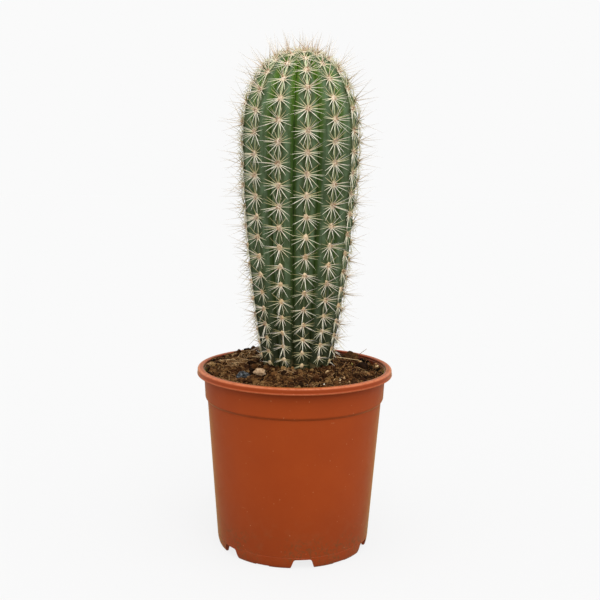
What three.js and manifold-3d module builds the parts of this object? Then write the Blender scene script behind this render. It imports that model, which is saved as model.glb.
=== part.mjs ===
// Potted tall cactus: a ribbed column cactus with star-like spine clusters, standing in peat soil
// in a round plastic nursery pot. Millimetres, +Z up. The origin is on the ground under the middle
// of the pot, and -Y is the front. Angles are measured from the front towards +X.
import * as THREE from "three";
import { mergeVertices } from "three/addons/utils/BufferGeometryUtils.js";
import Module from "manifold-3d";

const wasm = await Module();
wasm.setup();

const DEGREE = Math.PI / 180;
const UP = new THREE.Vector3(0, 0, 1);
const GAP = 0.3; // clearance between neighbouring pieces
const FACET_LOSS = 0.15; // how far a flat side of the pot's wall comes inside its corner radius

// ---------------------------------------------------------------- driving dimensions

const POT = {
  sides: 56,
  wall: 1.6,
  rimRadius: 85,
  rimTop: 158,
  rimUnderside: 152.4,
  rimRounding: 1.4,
  rimLipRadius: 79.6,
  ledgeHeight: 155.8,
  collarTopRadius: 79,
  collarFoot: 135,
  collarFootRadius: 78,
  wallTop: 129.5,
  wallTopRadius: 76,
  skirtTop: 10,
  skirtTopRadius: 67.2,
  footRadius: 64.5,
  floorUnderside: 8.6,
};

const FEET = {
  count: 6,
  notchTurn: 7.75, // degrees from the front to the first notch
  notchHeight: 8.1,
  notchTopWidth: 14.6,
  notchFootWidth: 20,
  notchRounding: 1.6,
  recessWidth: 12,
  recessHeight: 1,
  slotRadius: 50,
  slotLength: 15,
  slotWidth: 5,
  drainRadius: 5.5,
};

const STEM = {
  centreX: 2,
  ribs: 13,
  firstCrest: 7.3, // degrees from the front to the crest of the rib in the middle of the view
  columnsPerRib: 4, // groove, flank, crest, flank
  outlineFoot: 160.5,
  shoulder: 355,
  shoulderRadius: 48.6,
  apex: 425.5,
  domePower: 2.15,
  footTaper: 19.6, // how much slimmer the stem is 195 mm under its shoulder
  taperLength: 195,
  taperPower: 1.75,
  crestRise: 0.4,
  flankSink: 0.035, // shares of the radius there
  grooveSink: 0.15,
};

// The buried foot of the stem: its rings below the soil, and its blunt end.
const ROOT = { rings: [[140, 25.4], [112, 18.5], [102, 11.5]], end: 98.5, grooveShare: 0.5 };

const AREOLE = {
  firstArc: 4.6, // along the stem's outline from the soil to the first row
  footSpacing: 10.7,
  middleSpacing: 17.2,
  crownSpacing: 9.4,
  middleFrom: 0.55, // shares of the outline's length
  middleTo: 0.76,
  ringSides: 8,
  ringRadius: 1.3,
  ringRise: 0.45,
  centreRise: 0.9,
};

const SPINE = {
  downLength: 11.6,
  sideLength: 14.2,
  centralLength: 16.6,
  downLean: 28, // degrees from the stem's surface
  upLean: 44,
  centralLean: 72,
  centralIndex: 4,
  turnOffset: 10, // turns every cluster a little, so that spines of one rib pass each other
  thickness: 0.95,
  clearance: 0.25,
  lowestTip: 163.2,
  leanStep: 5,
  steepest: 86,
};

const CROWN = { ringRadius: 1.7, ringDrop: 0.35, length: 16.2, lean: 62, leanSwing: 16 };

const SOIL = {
  rings: 8,
  stemLevel: 160.4,
  wallLevel: 152.6,
  moundPower: 1.5,
  backRise: 3.2,
  leftRise: 4.6,
  riseReach: 70, // from the pot's axis to where the soil has risen in full
  lumpHeight: 1.5,
  holeGap: 0.5,
};

// The heap of soil behind the stem, on the left.
const HEAP = { at: [-38, 44], reach: 25, height: 5 };

// Loose stones and clods on the soil: place, half sizes, turn and roughness of form.
const LOOSE = [
  { name: "stone_grey", at: [-43.8, -30.4], half: [5.6, 4.2, 3.7], turn: 24, edge: 0.2, colour: 0x3f4550 },
  { name: "stone_tan", at: [-29.5, -31], half: [5.4, 4.1, 3.2], turn: -12, edge: 0.07, colour: 0xa98358 },
  { name: "clod_dark", at: [60, 8.6], half: [6, 5, 4.2], turn: 40, edge: 0.15, colour: 0x2f2a26 },
  { name: "clod_brown", at: [67.2, -6], half: [3.6, 3, 2.6], turn: 75, edge: 0.13, colour: 0x6d3a24 },
  { name: "clod_back", at: [51, 45], half: [7, 5.5, 4.6], turn: 10, edge: 0.16, colour: 0x3a2a1e },
];

const COLOUR = { pot: 0x9c421d, soil: 0x553b24, cactus: 0x506e4b };

// ---------------------------------------------------------------- small helpers

// Seeded numbers from 0 to 1, the same in every run.
function seededRandom(seed) {
  let state = seed;
  return () => {
    state = (state + 0x6d2b79f5) | 0;
    let mixed = Math.imul(state ^ (state >>> 15), 1 | state);
    mixed = (mixed + Math.imul(mixed ^ (mixed >>> 7), 61 | mixed)) ^ mixed;
    return ((mixed ^ (mixed >>> 14)) >>> 0) / 4294967296;
  };
}

function outward(turn) {
  return new THREE.Vector3(Math.sin(turn), -Math.cos(turn), 0);
}

function sideways(turn) {
  return new THREE.Vector3(Math.cos(turn), Math.sin(turn), 0);
}

// A closed surface put together from corners and triangles that turn anticlockwise seen from outside.
class Surface {
  constructor() {
    this.corners = [];
    this.triangles = [];
  }

  corner(point) {
    this.corners.push(point.x, point.y, point.z);
    return this.corners.length / 3 - 1;
  }

  triangle(a, b, c) {
    this.triangles.push(a, b, c);
  }

  quad(a, b, c, d) {
    this.triangle(a, b, c);
    this.triangle(a, c, d);
  }

  // A band between two rings of corners with the same count, the second above the first.
  band(lower, upper) {
    for (let i = 0; i < lower.length; i += 1) {
      const next = (i + 1) % lower.length;
      this.quad(lower[i], lower[next], upper[next], upper[i]);
    }
  }

  // The same band facing the other way, as the lining of a hole, split along the same diagonals.
  lining(lower, upper) {
    for (let i = 0; i < lower.length; i += 1) {
      const next = (i + 1) % lower.length;
      this.triangle(lower[i], upper[next], lower[next]);
      this.triangle(lower[i], upper[i], upper[next]);
    }
  }

  // A cap on a ring: facing up, or down with the ring taken backwards.
  cap(ring, middle) {
    for (let i = 0; i < ring.length; i += 1) {
      this.triangle(ring[i], ring[(i + 1) % ring.length], middle);
    }
  }

  geometry() {
    const geometry = new THREE.BufferGeometry();
    geometry.setAttribute("position", new THREE.Float32BufferAttribute(this.corners, 3));
    geometry.setIndex(this.triangles);
    return geometry;
  }
}

function toSolid(geometry) {
  const plain = geometry.clone();
  plain.deleteAttribute("normal");
  plain.deleteAttribute("uv");
  const merged = mergeVertices(plain, 1e-4);
  return new wasm.Manifold(
    new wasm.Mesh({
      numProp: 3,
      vertProperties: new Float32Array(merged.attributes.position.array),
      triVerts: new Uint32Array(merged.index.array),
    }),
  );
}

function toGeometry(solid) {
  const mesh = solid.getMesh();
  const geometry = new THREE.BufferGeometry();
  geometry.setAttribute("position", new THREE.BufferAttribute(new Float32Array(mesh.vertProperties), 3));
  geometry.setIndex(new THREE.BufferAttribute(new Uint32Array(mesh.triVerts), 1));
  return geometry;
}

function finished(name, geometry, colour, roughness) {
  geometry.computeVertexNormals();
  const material = new THREE.MeshStandardMaterial({ color: colour, roughness, metalness: 0 });
  const mesh = new THREE.Mesh(geometry, material);
  mesh.name = name;
  return mesh;
}

// ---------------------------------------------------------------- pot

// The pot's section: the floor and the inside from the axis outwards, then the outside back to it.
function potSection() {
  const section = new THREE.Path();
  const { wall, rimRadius, rimTop, rimUnderside, rimRounding } = POT;
  section.moveTo(0, POT.floorUnderside);
  section.lineTo(POT.skirtTopRadius - 3 * wall, POT.floorUnderside);
  section.lineTo(POT.footRadius - wall, 0);
  section.lineTo(POT.footRadius, 0);
  section.quadraticCurveTo(POT.skirtTopRadius - 0.6, 0.6, POT.skirtTopRadius, POT.skirtTop);
  section.lineTo(POT.wallTopRadius, POT.wallTop);
  section.lineTo(POT.collarFootRadius, POT.collarFoot);
  section.lineTo(POT.collarTopRadius, rimUnderside);
  section.lineTo(rimRadius - rimRounding, rimUnderside);
  section.quadraticCurveTo(rimRadius, rimUnderside, rimRadius, rimUnderside + rimRounding);
  section.lineTo(rimRadius, rimTop - rimRounding);
  section.quadraticCurveTo(rimRadius, rimTop, rimRadius - rimRounding, rimTop);
  section.lineTo(POT.rimLipRadius + 0.4, rimTop);
  section.lineTo(POT.rimLipRadius, rimTop - 0.5);
  section.lineTo(POT.rimLipRadius - 0.2, POT.ledgeHeight);
  for (const [radius, height] of innerWall()) {
    section.lineTo(radius, height);
  }
  section.lineTo(0, POT.floorUnderside + wall);
  return section.getPoints(3);
}

// Radius and height down the pot's inner wall, from the ledge inside the rim to the floor.
function innerWall() {
  return [
    [POT.collarTopRadius - 0.6, POT.ledgeHeight],
    [POT.collarTopRadius - POT.wall, POT.rimUnderside],
    [POT.collarFootRadius - POT.wall, POT.collarFoot],
    [POT.wallTopRadius - POT.wall, POT.wallTop],
    [POT.skirtTopRadius - POT.wall, POT.floorUnderside + POT.wall],
  ];
}

// A flat outline, across by up, run out from one radius to another at a turn round the pot.
function radialCutter(shape, fromRadius, toRadius, turn) {
  const cutter = new THREE.ExtrudeGeometry(shape, {
    depth: toRadius - fromRadius,
    bevelEnabled: false,
    curveSegments: 3,
  });
  cutter.rotateX(90 * DEGREE);
  cutter.translate(0, -fromRadius, 0);
  cutter.rotateZ(turn);
  return toSolid(cutter);
}

function notchShape() {
  const { notchHeight, notchTopWidth, notchFootWidth, notchRounding } = FEET;
  const below = 1;
  const spread = ((notchFootWidth - notchTopWidth) / 2 / notchHeight) * (notchHeight + below);
  const half = notchTopWidth / 2;
  const shape = new THREE.Shape();
  shape.moveTo(-half - spread, -below);
  shape.lineTo(half + spread, -below);
  shape.lineTo(half + 0.4, notchHeight - notchRounding);
  shape.quadraticCurveTo(half, notchHeight, half - notchRounding, notchHeight);
  shape.lineTo(notchRounding - half, notchHeight);
  shape.quadraticCurveTo(-half, notchHeight, -half - 0.4, notchHeight - notchRounding);
  shape.closePath();
  return shape;
}

function rectangle(width, bottom, top) {
  const shape = new THREE.Shape();
  shape.moveTo(-width / 2, bottom);
  shape.lineTo(width / 2, bottom);
  shape.lineTo(width / 2, top);
  shape.lineTo(-width / 2, top);
  shape.closePath();
  return shape;
}

function makePot() {
  const lathe = new THREE.LatheGeometry(potSection(), POT.sides);
  lathe.rotateX(90 * DEGREE);
  let pot = toSolid(lathe);
  const inside = POT.footRadius - 8;
  const outside = POT.rimRadius;
  const floorTop = POT.floorUnderside + POT.wall;
  for (let i = 0; i < FEET.count; i += 1) {
    const pitch = (360 * DEGREE) / FEET.count;
    const turn = FEET.notchTurn * DEGREE + i * pitch;
    pot = pot.subtract(radialCutter(notchShape(), inside, outside, turn));
    const recess = rectangle(FEET.recessWidth, -1, FEET.recessHeight);
    pot = pot.subtract(radialCutter(recess, inside, outside, turn + pitch / 2));
    const slot = rectangle(FEET.slotWidth, POT.floorUnderside - 1, floorTop + 1);
    const slotStart = FEET.slotRadius - FEET.slotLength / 2;
    pot = pot.subtract(radialCutter(slot, slotStart, slotStart + FEET.slotLength, turn));
  }
  const drain = new THREE.CylinderGeometry(FEET.drainRadius, FEET.drainRadius, 4, 16);
  drain.rotateX(90 * DEGREE);
  drain.translate(0, 0, floorTop);
  pot = pot.subtract(toSolid(drain));
  return finished("pot", toGeometry(pot), COLOUR.pot, 0.45);
}

// ---------------------------------------------------------------- stem outline and grid

// Radius and height up the stem, from the soil to the apex: a taper, then a dome.
function outlinePoints() {
  const steps = 60;
  const points = [];
  for (let i = 0; i < steps; i += 1) {
    const z = THREE.MathUtils.lerp(STEM.outlineFoot, STEM.shoulder, i / steps);
    points.push(new THREE.Vector2(taperRadius(z), z));
  }
  const rise = STEM.apex - STEM.shoulder;
  for (let i = 0; i <= steps; i += 1) {
    const share = 2 / STEM.domePower;
    const angle = (i / steps) * 90 * DEGREE;
    const radius = STEM.shoulderRadius * Math.max(0, Math.cos(angle)) ** share;
    points.push(new THREE.Vector2(radius, STEM.shoulder + rise * Math.sin(angle) ** share));
  }
  return points;
}

function taperRadius(z) {
  const below = (STEM.shoulder - z) / STEM.taperLength;
  return STEM.shoulderRadius - STEM.footTaper * below ** STEM.taperPower;
}

const outline = new THREE.SplineCurve(outlinePoints());
outline.arcLengthDivisions = 2000;
const outlineLength = outline.getLength();

// The distance between areoles of one rib, at an arc length up the stem.
function areoleSpacing(arc) {
  const share = arc / outlineLength;
  const { footSpacing, middleSpacing, crownSpacing, middleFrom, middleTo } = AREOLE;
  const opening = Math.sin(90 * DEGREE * Math.min(1, share / middleFrom));
  const closing = THREE.MathUtils.smoothstep(share, middleTo, 1);
  return footSpacing + (middleSpacing - footSpacing) * opening - (middleSpacing - crownSpacing) * closing;
}

// Arc lengths of the grid's rows, two for each areole of a rib, up to just under the crown.
function rowArcs() {
  const arcs = [AREOLE.firstArc];
  for (;;) {
    const last = arcs[arcs.length - 1];
    const next = last + areoleSpacing(last) / 2;
    if (next > outlineLength - AREOLE.crownSpacing) {
      return arcs;
    }
    arcs.push(next);
  }
}

const arcs = rowArcs();

// The arc length of a row number that may lie between two rows, or a little outside them.
function arcOfRow(row) {
  const lower = Math.max(0, Math.min(arcs.length - 2, Math.floor(row)));
  return arcs[lower] + (arcs[lower + 1] - arcs[lower]) * (row - lower);
}

// Neighbouring ribs have their areoles 7/13 of a spacing apart, which is one row and this share more.
function rowShift(rib) {
  return rib / STEM.ribs;
}

const halfRibs = (STEM.ribs - 1) / 2;
const ribPitch = (360 * DEGREE) / STEM.ribs;
const columnCount = STEM.ribs * STEM.columnsPerRib;

// Each column of the grid: its turn, its shift along the stem and what it is on its rib.
function columnList() {
  const columns = [];
  for (let rib = -halfRibs; rib <= halfRibs; rib += 1) {
    const before = rib === -halfRibs ? halfRibs : rib - 1;
    const kinds = ["groove", "flank", "crest", "flank"];
    kinds.forEach((kind, index) => {
      const steps = index - kinds.indexOf("crest");
      const turn = STEM.firstCrest * DEGREE + ribPitch * (rib + steps / STEM.columnsPerRib);
      const shift = kind === "groove" ? (rowShift(before) + rowShift(rib)) / 2 : rowShift(rib);
      columns.push({ rib, kind, turn, shift });
    });
  }
  return columns;
}

const columns = columnList();

function sinkOf(kind, radius) {
  if (kind === "groove") {
    return STEM.grooveSink * radius;
  }
  return kind === "flank" ? STEM.flankSink * radius : -STEM.crestRise;
}

// A place on the stem, with its outward normal and the directions up the stem and to the right.
function stemPlace(turn, arc, kind) {
  const share = THREE.MathUtils.clamp(arc / outlineLength, 0, 1);
  const { x: radius, y: z } = outline.getPointAt(share);
  const along = outline.getTangentAt(share);
  const out = outward(turn);
  const normal = out.clone().multiplyScalar(along.y).addScaledVector(UP, -along.x);
  const up = out.clone().multiplyScalar(along.x).addScaledVector(UP, along.y);
  const point = out.clone().multiplyScalar(radius).addScaledVector(UP, z);
  point.addScaledVector(normal, -sinkOf(kind, radius));
  point.x += STEM.centreX;
  return { point, normal, up, right: sideways(turn) };
}

// A ring of the buried stem, or of the hole around it when it is widened.
function buriedRing(radius, z, widen) {
  return columns.map(({ kind, turn }) => {
    const reach = radius - sinkOf(kind, radius) * ROOT.grooveShare + widen;
    const point = outward(turn).multiplyScalar(reach).addScaledVector(UP, z);
    point.x += STEM.centreX;
    return point;
  });
}

// The stem's ring at the soil, moved out from the stem's axis when it is widened.
function soilLineRing(widen) {
  return columns.map(({ kind, turn }) => {
    return stemPlace(turn, 0, kind).point.addScaledVector(outward(turn), widen);
  });
}

// ---------------------------------------------------------------- spines

const random = seededRandom(13);
const laidSpines = [];

// The nearest approach of two spines, less the room that both take up there.
function clearanceBetween(first, second) {
  const along = first.tip.clone().sub(first.foot);
  const across = second.tip.clone().sub(second.foot);
  const between = first.foot.clone().sub(second.foot);
  const a = along.lengthSq();
  const b = along.dot(across);
  const c = across.lengthSq();
  const d = along.dot(between);
  const e = across.dot(between);
  const spread = a * c - b * b;
  let s = spread > 1e-6 ? THREE.MathUtils.clamp((b * e - c * d) / spread, 0, 1) : 0;
  const t = THREE.MathUtils.clamp((b * s + e) / c, 0, 1);
  s = THREE.MathUtils.clamp((b * t - d) / a, 0, 1);
  const near = first.foot.clone().addScaledVector(along, s);
  const other = second.foot.clone().addScaledVector(across, t);
  return near.distanceTo(other) - (SPINE.thickness / 2) * (2 - s - t);
}

function isClear(spine) {
  if (spine.tip.z < SPINE.lowestTip) {
    return false;
  }
  return laidSpines.every((other) => {
    const sameCluster = other.cluster === spine.cluster;
    const farApart = other.foot.distanceTo(spine.foot) > 2 * SPINE.centralLength;
    return sameCluster || farApart || clearanceBetween(spine, other) > SPINE.clearance;
  });
}

// Tilts a spine away from the surface until it is clear of those already laid, and keeps it.
function laySpine(place, foot, cluster, turn, lean, length) {
  let spine;
  for (let tilt = lean; tilt <= SPINE.steepest; tilt += SPINE.leanStep) {
    const flat = Math.cos(tilt * DEGREE) * length;
    const tip = foot.clone().addScaledVector(place.up, -Math.cos(turn) * flat);
    tip.addScaledVector(place.right, Math.sin(turn) * flat);
    tip.addScaledVector(place.normal, Math.sin(tilt * DEGREE) * length);
    spine = { foot, tip, cluster };
    if (isClear(spine)) {
      break;
    }
  }
  laidSpines.push(spine);
  return spine.tip;
}

// Raises one facet of a cluster's fan into a three-sided spine.
function raiseSpine(surface, a, b, c, tip) {
  const peak = surface.corner(tip);
  surface.triangle(a, b, peak);
  surface.triangle(b, c, peak);
  surface.triangle(c, a, peak);
}

// An areole: a small raised pad in place of one corner of the grid, with a spine on each facet.
function addAreole(surface, place, around, pitchAcross, cluster) {
  const radius = Math.min(AREOLE.ringRadius, 0.42 * pitchAcross);
  const facet = (360 * DEGREE) / AREOLE.ringSides;
  const ring = [];
  for (let i = 0; i < AREOLE.ringSides; i += 1) {
    const turn = facet * (i - 0.5) + SPINE.turnOffset * DEGREE;
    const corner = place.point.clone().addScaledVector(place.normal, AREOLE.ringRise);
    corner.addScaledVector(place.up, -Math.cos(turn) * radius);
    corner.addScaledVector(place.right, Math.sin(turn) * radius);
    ring.push(surface.corner(corner));
  }
  surface.band(around, ring);
  const middlePoint = place.point.clone().addScaledVector(place.normal, AREOLE.centreRise);
  const middle = surface.corner(middlePoint);
  for (let i = 0; i < AREOLE.ringSides; i += 1) {
    const central = i === SPINE.centralIndex;
    const turn = facet * i + (SPINE.turnOffset + 8 * (random() - 0.5)) * DEGREE;
    const upness = (1 - Math.cos(turn)) / 2;
    const sideReach = (SPINE.sideLength - SPINE.downLength) * Math.abs(Math.sin(turn));
    const baseLean = central ? SPINE.centralLean : THREE.MathUtils.lerp(SPINE.downLean, SPINE.upLean, upness);
    const baseLength = central ? SPINE.centralLength : SPINE.downLength + sideReach;
    const lean = baseLean + 8 * (random() - 0.5);
    const length = baseLength * (0.93 + 0.14 * random());
    const tip = laySpine(place, middlePoint, cluster, turn, lean, length);
    raiseSpine(surface, middle, ring[i], ring[(i + 1) % ring.length], tip);
  }
}

// ---------------------------------------------------------------- cactus

function makeCactus() {
  const surface = new Surface();
  const root = ROOT.rings.map(([z, radius]) => buriedRing(radius, z, 0).map((p) => surface.corner(p)));
  const rings = [...root.reverse(), soilLineRing(0).map((p) => surface.corner(p))];
  const firstRow = rings.length;
  arcs.forEach((_, row) => {
    rings.push(
      columns.map(({ kind, turn, shift }) => {
        return surface.corner(stemPlace(turn, arcOfRow(row + shift), kind).point);
      }),
    );
  });

  const isAreole = (column, row) => {
    const { kind, rib } = columns[column];
    const inGrid = row > 0 && row < arcs.length - 1;
    return kind === "crest" && inGrid && Math.abs(rib % 2) === row % 2;
  };
  const touchesAreole = (column, row) => {
    const next = (column + 1) % columnCount;
    return [column, next].some((c) => isAreole(c, row) || isAreole(c, row + 1));
  };

  for (let i = 0; i < rings.length - 1; i += 1) {
    for (let column = 0; column < columnCount; column += 1) {
      const next = (column + 1) % columnCount;
      if (!touchesAreole(column, i - firstRow)) {
        surface.quad(rings[i][column], rings[i][next], rings[i + 1][next], rings[i + 1][column]);
      }
    }
  }

  for (let row = 1; row < arcs.length - 1; row += 1) {
    for (let column = 0; column < columnCount; column += 1) {
      if (isAreole(column, row)) {
        const { turn, shift } = columns[column];
        const place = stemPlace(turn, arcOfRow(row + shift), "crest");
        const [below, level, above] = [-1, 0, 1].map((step) => rings[firstRow + row + step]);
        const around = [
          below[column],
          below[column + 1],
          level[column + 1],
          above[column + 1],
          above[column],
          above[column - 1],
          level[column - 1],
          below[column - 1],
        ];
        const radius = Math.hypot(place.point.x - STEM.centreX, place.point.y);
        const pitchAcross = (radius * ribPitch) / STEM.columnsPerRib;
        addAreole(surface, place, around, pitchAcross, `${column} ${row}`);
      }
    }
  }

  addCrown(surface, rings[rings.length - 1]);
  const rootEnd = surface.corner(new THREE.Vector3(STEM.centreX, 0, ROOT.end));
  surface.cap([...rings[0]].reverse(), rootEnd);
  return finished("cactus", surface.geometry(), COLOUR.cactus, 0.6);
}

// The apex: one corner for each rib in a small ring, and a tuft of spines on the fan inside it.
function addCrown(surface, lastRing) {
  const ring = [];
  for (let rib = -halfRibs; rib <= halfRibs; rib += 1) {
    const turn = STEM.firstCrest * DEGREE + ribPitch * rib;
    const corner = outward(turn).multiplyScalar(CROWN.ringRadius);
    corner.x += STEM.centreX;
    corner.z = STEM.apex - CROWN.ringDrop;
    ring.push(surface.corner(corner));
  }
  const perRib = STEM.columnsPerRib;
  ring.forEach((corner, i) => {
    const next = (i + 1) % ring.length;
    for (let step = 0; step < perRib; step += 1) {
      const column = (i * perRib + 2 + step) % columnCount;
      surface.triangle(lastRing[column], lastRing[(column + 1) % columnCount], step < 2 ? corner : ring[next]);
      if (step === 1) {
        surface.triangle(lastRing[(column + 1) % columnCount], ring[next], corner);
      }
    }
  });
  const middlePoint = new THREE.Vector3(STEM.centreX, 0, STEM.apex);
  const middle = surface.corner(middlePoint);
  ring.forEach((corner, i) => {
    const turn = STEM.firstCrest * DEGREE + ribPitch * (i - halfRibs + 0.5);
    const place = { normal: UP, up: outward(turn), right: sideways(turn) };
    const lean = CROWN.lean + CROWN.leanSwing * (i % 2 ? 1 : -1);
    const length = CROWN.length * (0.9 + 0.1 * random());
    const tip = laySpine(place, middlePoint, "crown", 180 * DEGREE, lean, length);
    raiseSpine(surface, middle, corner, ring[(i + 1) % ring.length], tip);
  });
}

// ---------------------------------------------------------------- soil

// The soil's height: a mound round the stem, higher at the back and on the left, with a heap and lumps.
function soilHeight(x, y, nearness) {
  const mound = SOIL.wallLevel + (SOIL.stemLevel - SOIL.wallLevel) * nearness ** SOIL.moundPower;
  const back = SOIL.backRise * THREE.MathUtils.smoothstep(y, 0, SOIL.riseReach);
  const toLeft = THREE.MathUtils.smoothstep(0.6 * y - 0.8 * x, 0.1 * SOIL.riseReach, 0.9 * SOIL.riseReach);
  const rise = THREE.MathUtils.lerp(back, SOIL.leftRise, toLeft) * (1 - nearness);
  const fromHeap = Math.min(1, Math.hypot(x - HEAP.at[0], y - HEAP.at[1]) / HEAP.reach);
  const heap = HEAP.height * (1 - fromHeap ** 2) ** 2;
  const lumps = Math.sin(x / 5.3 + 1.2) * Math.sin(y / 6.1) + 0.6 * Math.sin((x - y) / 3.9 + 0.7);
  return mound + rise + heap + SOIL.lumpHeight * lumps * (1 - nearness ** 4);
}

function makeSoilBody() {
  const surface = new Surface();
  const wallRadius = (radius) => radius - GAP - FACET_LOSS;
  const inner = innerWall();
  const [topRadius] = inner[1];
  const edge = soilLineRing(SOIL.holeGap);
  const top = [];
  for (let ring = 0; ring <= SOIL.rings; ring += 1) {
    const share = ring / SOIL.rings;
    top.push(
      edge.map((point, column) => {
        const wall = outward(columns[column].turn).multiplyScalar(wallRadius(topRadius));
        const place = point.clone().lerp(wall, share);
        place.z = soilHeight(place.x, place.y, 1 - share);
        return surface.corner(place);
      }),
    );
  }
  for (let ring = 0; ring < SOIL.rings; ring += 1) {
    surface.band(top[ring + 1], top[ring]);
  }

  let upper = top[SOIL.rings];
  inner.slice(2).forEach(([radius, height]) => {
    const atFloor = height < POT.skirtTop + POT.wall;
    const z = atFloor ? height + GAP : height;
    const lower = columns.map(({ turn }) => {
      return surface.corner(outward(turn).multiplyScalar(wallRadius(radius)).addScaledVector(UP, z));
    });
    surface.band(lower, upper);
    upper = lower;
  });
  const floorMiddle = surface.corner(new THREE.Vector3(0, 0, POT.floorUnderside + POT.wall + GAP));
  surface.cap([...upper].reverse(), floorMiddle);

  let holeRing = top[0];
  ROOT.rings.forEach(([z, radius]) => {
    const lower = buriedRing(radius, z, SOIL.holeGap).map((p) => surface.corner(p));
    surface.lining(lower, holeRing);
    holeRing = lower;
  });
  const holeEnd = surface.corner(new THREE.Vector3(STEM.centreX, 0, ROOT.end - SOIL.holeGap));
  surface.cap(holeRing, holeEnd);
  return toSolid(surface.geometry());
}

// ---------------------------------------------------------------- loose stones and clods

// A many-sided lump with flattened places, widened all round when it serves as its own socket.
function lumpGeometry({ half, edge, turn }, widen) {
  const lump = new THREE.IcosahedronGeometry(1, 1);
  const corners = lump.attributes.position;
  for (let i = 0; i < corners.count; i += 1) {
    const x = corners.getX(i);
    const y = corners.getY(i);
    const z = corners.getZ(i);
    const bulge = 1 - edge / 2 + edge * Math.sin(4.1 * x + 1.3 * z) * Math.cos(3.3 * y - 2.1 * z);
    const sizes = half.map((size) => size * bulge + widen);
    corners.setXYZ(i, x * sizes[0], y * sizes[1], z * sizes[2]);
  }
  lump.rotateZ(turn * DEGREE);
  return lump;
}

function lumpPlace({ at: [x, y], half }) {
  const fromStem = Math.hypot(x - STEM.centreX, y) - taperRadius(STEM.outlineFoot);
  const span = POT.collarTopRadius - taperRadius(STEM.outlineFoot);
  const z = soilHeight(x, y, Math.max(0, 1 - fromStem / span)) + 0.25 * half[2];
  return new THREE.Vector3(x, y, z);
}

// ---------------------------------------------------------------- assembly

function makePottedCactus() {
  const group = new THREE.Group();
  group.add(makePot());
  group.add(makeCactus());
  let soil = makeSoilBody();
  for (const lump of LOOSE) {
    const place = lumpPlace(lump);
    const geometry = lumpGeometry(lump, 0);
    const mesh = finished(lump.name, toGeometry(toSolid(geometry)), lump.colour, 0.8);
    mesh.position.copy(place);
    group.add(mesh);
    const socket = lumpGeometry(lump, GAP + 0.1);
    socket.translate(place.x, place.y, place.z);
    soil = soil.subtract(toSolid(socket));
  }
  group.add(finished("soil", toGeometry(soil), COLOUR.soil, 0.95));
  return group;
}

export default makePottedCactus();
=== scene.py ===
"""Potted tall cactus: a ribbed column cactus with star-like spine clusters in a plastic nursery pot.

Shapes are worked out in millimetres in the part's own frame, +Z up and -Y to the front, and become
metres when a mesh is made. Turns are angles from the front towards +X. Random draws are seeded.
"""

import math

import bmesh
import bpy
import numpy as np
from mathutils import Matrix, Vector, noise


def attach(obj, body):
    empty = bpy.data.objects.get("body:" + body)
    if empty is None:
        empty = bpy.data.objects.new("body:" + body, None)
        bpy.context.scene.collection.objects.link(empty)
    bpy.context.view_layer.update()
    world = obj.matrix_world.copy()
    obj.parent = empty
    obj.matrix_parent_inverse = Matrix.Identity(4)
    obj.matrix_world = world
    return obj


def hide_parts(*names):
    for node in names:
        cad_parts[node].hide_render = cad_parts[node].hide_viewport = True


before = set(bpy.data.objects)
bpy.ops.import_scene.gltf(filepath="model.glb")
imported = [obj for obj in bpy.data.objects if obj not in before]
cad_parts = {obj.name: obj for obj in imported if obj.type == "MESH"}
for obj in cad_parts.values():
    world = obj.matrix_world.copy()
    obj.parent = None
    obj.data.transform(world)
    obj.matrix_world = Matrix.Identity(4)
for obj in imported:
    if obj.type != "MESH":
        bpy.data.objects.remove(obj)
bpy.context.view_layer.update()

MM = 0.001
BODY = "root"

# ---------------------------------------------------------------- sizes, in millimetres

RIM_RADIUS = 85.0
RIM_TOP = 158.0
RIM_UNDERSIDE = 152.4
LIP_RADIUS = 79.6
LEDGE_HEIGHT = 155.8
COLLAR_TOP_RADIUS = 79.0
COLLAR_FOOT = 135.0
COLLAR_FOOT_RADIUS = 78.0
WALL_TOP = 129.5
WALL_TOP_RADIUS = 76.0
SKIRT_TOP = 10.0
SKIRT_TOP_RADIUS = 67.2
FOOT_RADIUS = 64.5
FLOOR_UNDERSIDE = 8.6
WALL = 1.6

NOTCH_COUNT = 6
NOTCH_TURN = 7.75
NOTCH_HEIGHT = 8.1
NOTCH_TOP_WIDTH = 14.6
NOTCH_FOOT_WIDTH = 20.0
RECESS_TOP_WIDTH = 12.0
RECESS_FOOT_WIDTH = 12.6
RECESS_HEIGHT = 1.0
SLOT_RADIUS = 50.0
SLOT_LENGTH = 15.0
SLOT_WIDTH = 5.0
DRAIN_RADIUS = 5.5

STEM_X = 2.0
RIBS = 13
HALF_RIBS = (RIBS - 1) // 2
FIRST_CREST = math.radians(7.3)
RIB_PITCH = 2 * math.pi / RIBS
OUTLINE_FOOT = 160.5
SHOULDER = 355.0
SHOULDER_RADIUS = 48.6
APEX = 425.5
DOME_POWER = 2.15
FOOT_TAPER = 19.6
TAPER_LENGTH = 195.0
TAPER_POWER = 1.75
CREST_RISE = 0.4
GROOVE_SINK = 0.15
GROOVE_POWER = 2.1
ROOT_RINGS = ((102.0, 11.5), (112.0, 18.5), (140.0, 25.4))
ROOT_END = 98.5
ROOT_END_RADIUS = 4.0

FIRST_ARC = 4.6
FOOT_SPACING = 10.7
MIDDLE_SPACING = 17.2
CROWN_SPACING = 9.4
MIDDLE_FROM = 0.55
MIDDLE_TO = 0.76

SOIL_STEM_LEVEL = 160.4
SOIL_WALL_LEVEL = 152.6
MOUND_POWER = 1.5
BACK_RISE = 3.2
LEFT_RISE = 4.6
RISE_REACH = 70.0
HEAP_PLACE = (-38.0, 44.0)
HEAP_REACH = 25.0
HEAP_HEIGHT = 5.0
LUMP_HEIGHT = 1.5
SOIL_RADIUS = 77.2

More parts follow.
